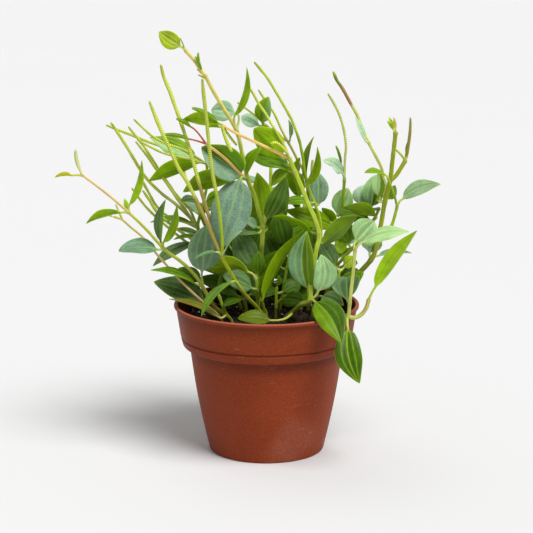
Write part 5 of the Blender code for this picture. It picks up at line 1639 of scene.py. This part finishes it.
def build_pot(material):
    """The pot with its round lip, its band and groove, its step, its base ring, hub and drain holes."""
    floor = FLOOR_HEIGHT + WALL
    third = POT_HEIGHT / 3
    corners = [
        (HUB_RADIUS, 0.0, 0), (HUB_RADIUS + HUB_FLARE, FLOOR_HEIGHT, 0.4),
        (FLOOR_MIDDLE, FLOOR_HEIGHT, 0), (FOOT_RADIUS - RING_WIDTH, FLOOR_HEIGHT, 0.5),
        (FOOT_RADIUS - RING_WIDTH, 0.0, 0.3), (FOOT_RADIUS, 0.0, 1.2),
        *((body_radius(height), height, 0) for height in POT_SIDE_HEIGHTS),
        (STEP_RADIUS, BAND_FOOT - STEP_DROP, 1.0), (BAND_FOOT_RADIUS, BAND_FOOT, 1.0),
        (GROOVE_RADIUS + GROOVE_DEPTH / 2, GROOVE - GROOVE_HALF_WIDTH - GROOVE_LEAN, 0.5),
        (GROOVE_RADIUS - GROOVE_BOTTOM, GROOVE, 0.35),
        (GROOVE_RADIUS + GROOVE_DEPTH, GROOVE + GROOVE_HALF_WIDTH, 0.7),
        (BAND_TOP_RADIUS, LIP_FOOT - LIP_NECK, 0.5), (RIM_RADIUS, LIP_FOOT + EDGE_ROUND, 0.7),
        (RIM_RADIUS, POT_HEIGHT, 0.9), (RIM_RADIUS - LIP_WIDTH, POT_HEIGHT, 0.8),
        (RIM_RADIUS - LIP_WIDTH - LIP_TAPER, POT_HEIGHT - LIP_INSIDE, 0.8),
        (INNER_STEP_RADIUS, BAND_FOOT + INNER_STEP_RISE, 1.5),
        (STEP_RADIUS - WALL, BAND_FOOT - STEP_DROP, 1.5), (body_radius(third) - WALL, third, 0),
        (body_radius(floor) - WALL - FLOOR_CORNER, floor, 1.2), (INNER_FLOOR, floor, 0),
    ]
    builder = Builder()
    builder.loft(*turned(rounded_outline(corners), POT_SIDES))
    pot = builder.object("pot_shell", material)
    cut_drains(pot, material)
    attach(pot, "root")
    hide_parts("pot")


def lump(draw):
    """A small ball pushed out of round: its points, at about radius 1, and its triangles."""
    ball = bmesh.new()
    bmesh.ops.create_icosphere(ball, subdivisions=2, radius=1.0)
    points = np.array([tuple(vertex.co) for vertex in ball.verts])
    triangles = np.array([[vertex.index for vertex in face.verts] for face in ball.faces])
    ball.free()
    for _ in range(LUMP_WAVES):
        way = np.array([draw.gauss(0, 1) for _ in range(3)])
        way /= np.linalg.norm(way)
        wave = np.sin(points @ way * draw.uniform(*LUMP_PACE) + draw.uniform(*PHASE))
        points *= (1 + LUMP_ROUGHNESS * wave)[:, None]
    return points, triangles


def turned_at_random(draw):
    """A turn about a random axis, as a matrix."""
    matrix, _ = np.linalg.qr(np.array([[draw.gauss(0, 1) for _ in range(3)] for _ in range(3)]))
    if np.linalg.det(matrix) < 0:
        matrix[0] *= -1
    return matrix


def scatter(builder, draw, lumps, amount, spots=()):
    """Lumps strewn over the soil, the first at given spots."""
    count, sizes, flatness = amount
    for i in range(count):
        if i < len(spots):
            x, y = spots[i]
        else:
            angle = draw.uniform(0, math.tau)
            reach = SCATTER_RADIUS * math.sqrt(draw.uniform(0, 1))
            x, y = reach * math.cos(angle), reach * math.sin(angle)
        size = draw.uniform(*sizes)
        points, triangles = draw.choice(lumps)
        shaped = points * np.array([1.0, draw.uniform(*LUMP_WIDTH), draw.uniform(*flatness)]) * size
        spun = shaped @ turned_at_random(draw).T
        z = soil_height(x, y) + size * LUMP_RISE
        builder.add(spun + np.array([x, y, z]), np.zeros((0, 4), int), triangles)


def soil_height(x, y):
    """The top of the soil, a little higher in the middle."""
    ripple = math.sin(x * 0.31 + 1.0) * math.cos(y * 0.27) + 0.6 * math.sin(x * 0.12 - y * 0.53)
    return SOIL_TOP - GAP - (x * x + y * y) / SOIL_CROWN + SOIL_ROUGHNESS * ripple


def build_soil():
    """The root ball with its crumbly top, and the perlite and bark on it."""
    draw = random.Random(SOIL_SEED)
    floor = FLOOR_HEIGHT + WALL + GAP
    third = POT_HEIGHT / 3
    side = [
        (body_radius(floor) - WALL - FLOOR_CORNER - GAP, floor),
        (body_radius(third) - WALL - GAP, third),
        (STEP_RADIUS - WALL - GAP, BAND_FOOT - STEP_DROP),
        (INNER_STEP_RADIUS - GAP, BAND_FOOT + INNER_STEP_RISE),
        (INNER_STEP_RADIUS + SOIL_SPREAD, SOIL_TOP - SOIL_EDGE_DROP),
    ]
    edge = side[-1][0]
    rings, first, _ = turned(side + [(edge * share, SOIL_TOP) for share in SOIL_RING_SHARES], SOIL_SIDES)
    for ring in rings[len(side):]:
        for point in ring:
            x, y = point[:2]
            reach = math.hypot(x, y) / edge
            crumbs = sum(math.sin(x * f + y * g + p) * a for f, g, p, a in CRUMB_WAVES)
            fall = SOIL_EDGE_DROP * max(0.0, (reach - SOIL_EDGE[0]) / SOIL_EDGE[1]) ** 2
            point[2] = soil_height(x, y) + crumbs + draw.uniform(*CRUMB_NOISE) - fall
    ground, white, chips = Builder(), Builder(), Builder()
    ground.loft(rings, first, (0.0, 0.0, soil_height(0, 0)))
    lumps = [lump(draw) for _ in range(LUMP_COUNT)]
    scatter(ground, draw, lumps, CRUMBS)
    scatter(white, draw, lumps, PERLITE, PERLITE_SPOTS)
    scatter(chips, draw, lumps, BARK)
    for builder, name, material in (
        (ground, "soil_top", soil_material()),
        (white, "perlite", perlite_material()),
        (chips, "bark_chips", bark_material()),
    ):
        piece = builder.object(name, material)
        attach(piece, "root")
        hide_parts("soil")


# The stage: half the floor's side in metres, the light from all round, and the lamps (name, way to the lamp,
# strength, angle in degrees that it fills)
FLOOR_REACH = 6.0
SKY_STRENGTH = 0.33
LIGHTS = (("key", (0.45, -0.55, 1.25), 3.55, 32.0), ("back", (-0.4, 0.6, 1.0), 0.5, 50.0))


def build_stage():
    """The pale floor, the soft lights and the camera."""
    mesh = bpy.data.meshes.new("floor")
    corners = [(x * FLOOR_REACH, y * FLOOR_REACH, 0) for x, y in ((-1, -1), (1, -1), (1, 1), (-1, 1))]
    mesh.from_pydata(corners, [], [(0, 1, 2, 3)])
    floor = new_object("floor", mesh)
    nodes = Nodes("pale floor", 0.7)
    cloud = nodes.noise(nodes.object_place(), 3.0)
    mesh.materials.append(nodes.finish(nodes.mix(cloud, *FLOOR_COLOURS)))

    world = bpy.data.worlds.new("studio")
    bpy.context.scene.world = world
    world.use_nodes = True
    background = world.node_tree.nodes["Background"]
    background.inputs["Color"].default_value = (1.0, 1.0, 1.0, 1.0)
    background.inputs["Strength"].default_value = SKY_STRENGTH
    for name, way, strength, spread in LIGHTS:
        light = bpy.data.lights.new(name, "SUN")
        light.energy = strength
        light.angle = math.radians(spread)
        new_object(name, light).rotation_euler = Vector(way).to_track_quat("Z", "Y").to_euler()

    camera = bpy.data.cameras.new("camera")
    camera.sensor_width = SENSOR_WIDTH
    camera.lens = CAMERA_LENS
    view = new_object("camera", camera)
    view.location = EYE * MM
    view.rotation_euler = (math.radians(90.0 - CAMERA_DROP), 0.0, 0.0)
    bpy.context.scene.camera = view
    bpy.context.scene.view_settings.view_transform = "Standard"


build_stage()
build_plant({"foliage": leaf_material(), "stem": stem_material(), "spike": spike_material()})
build_pot(pot_material())
build_soil()
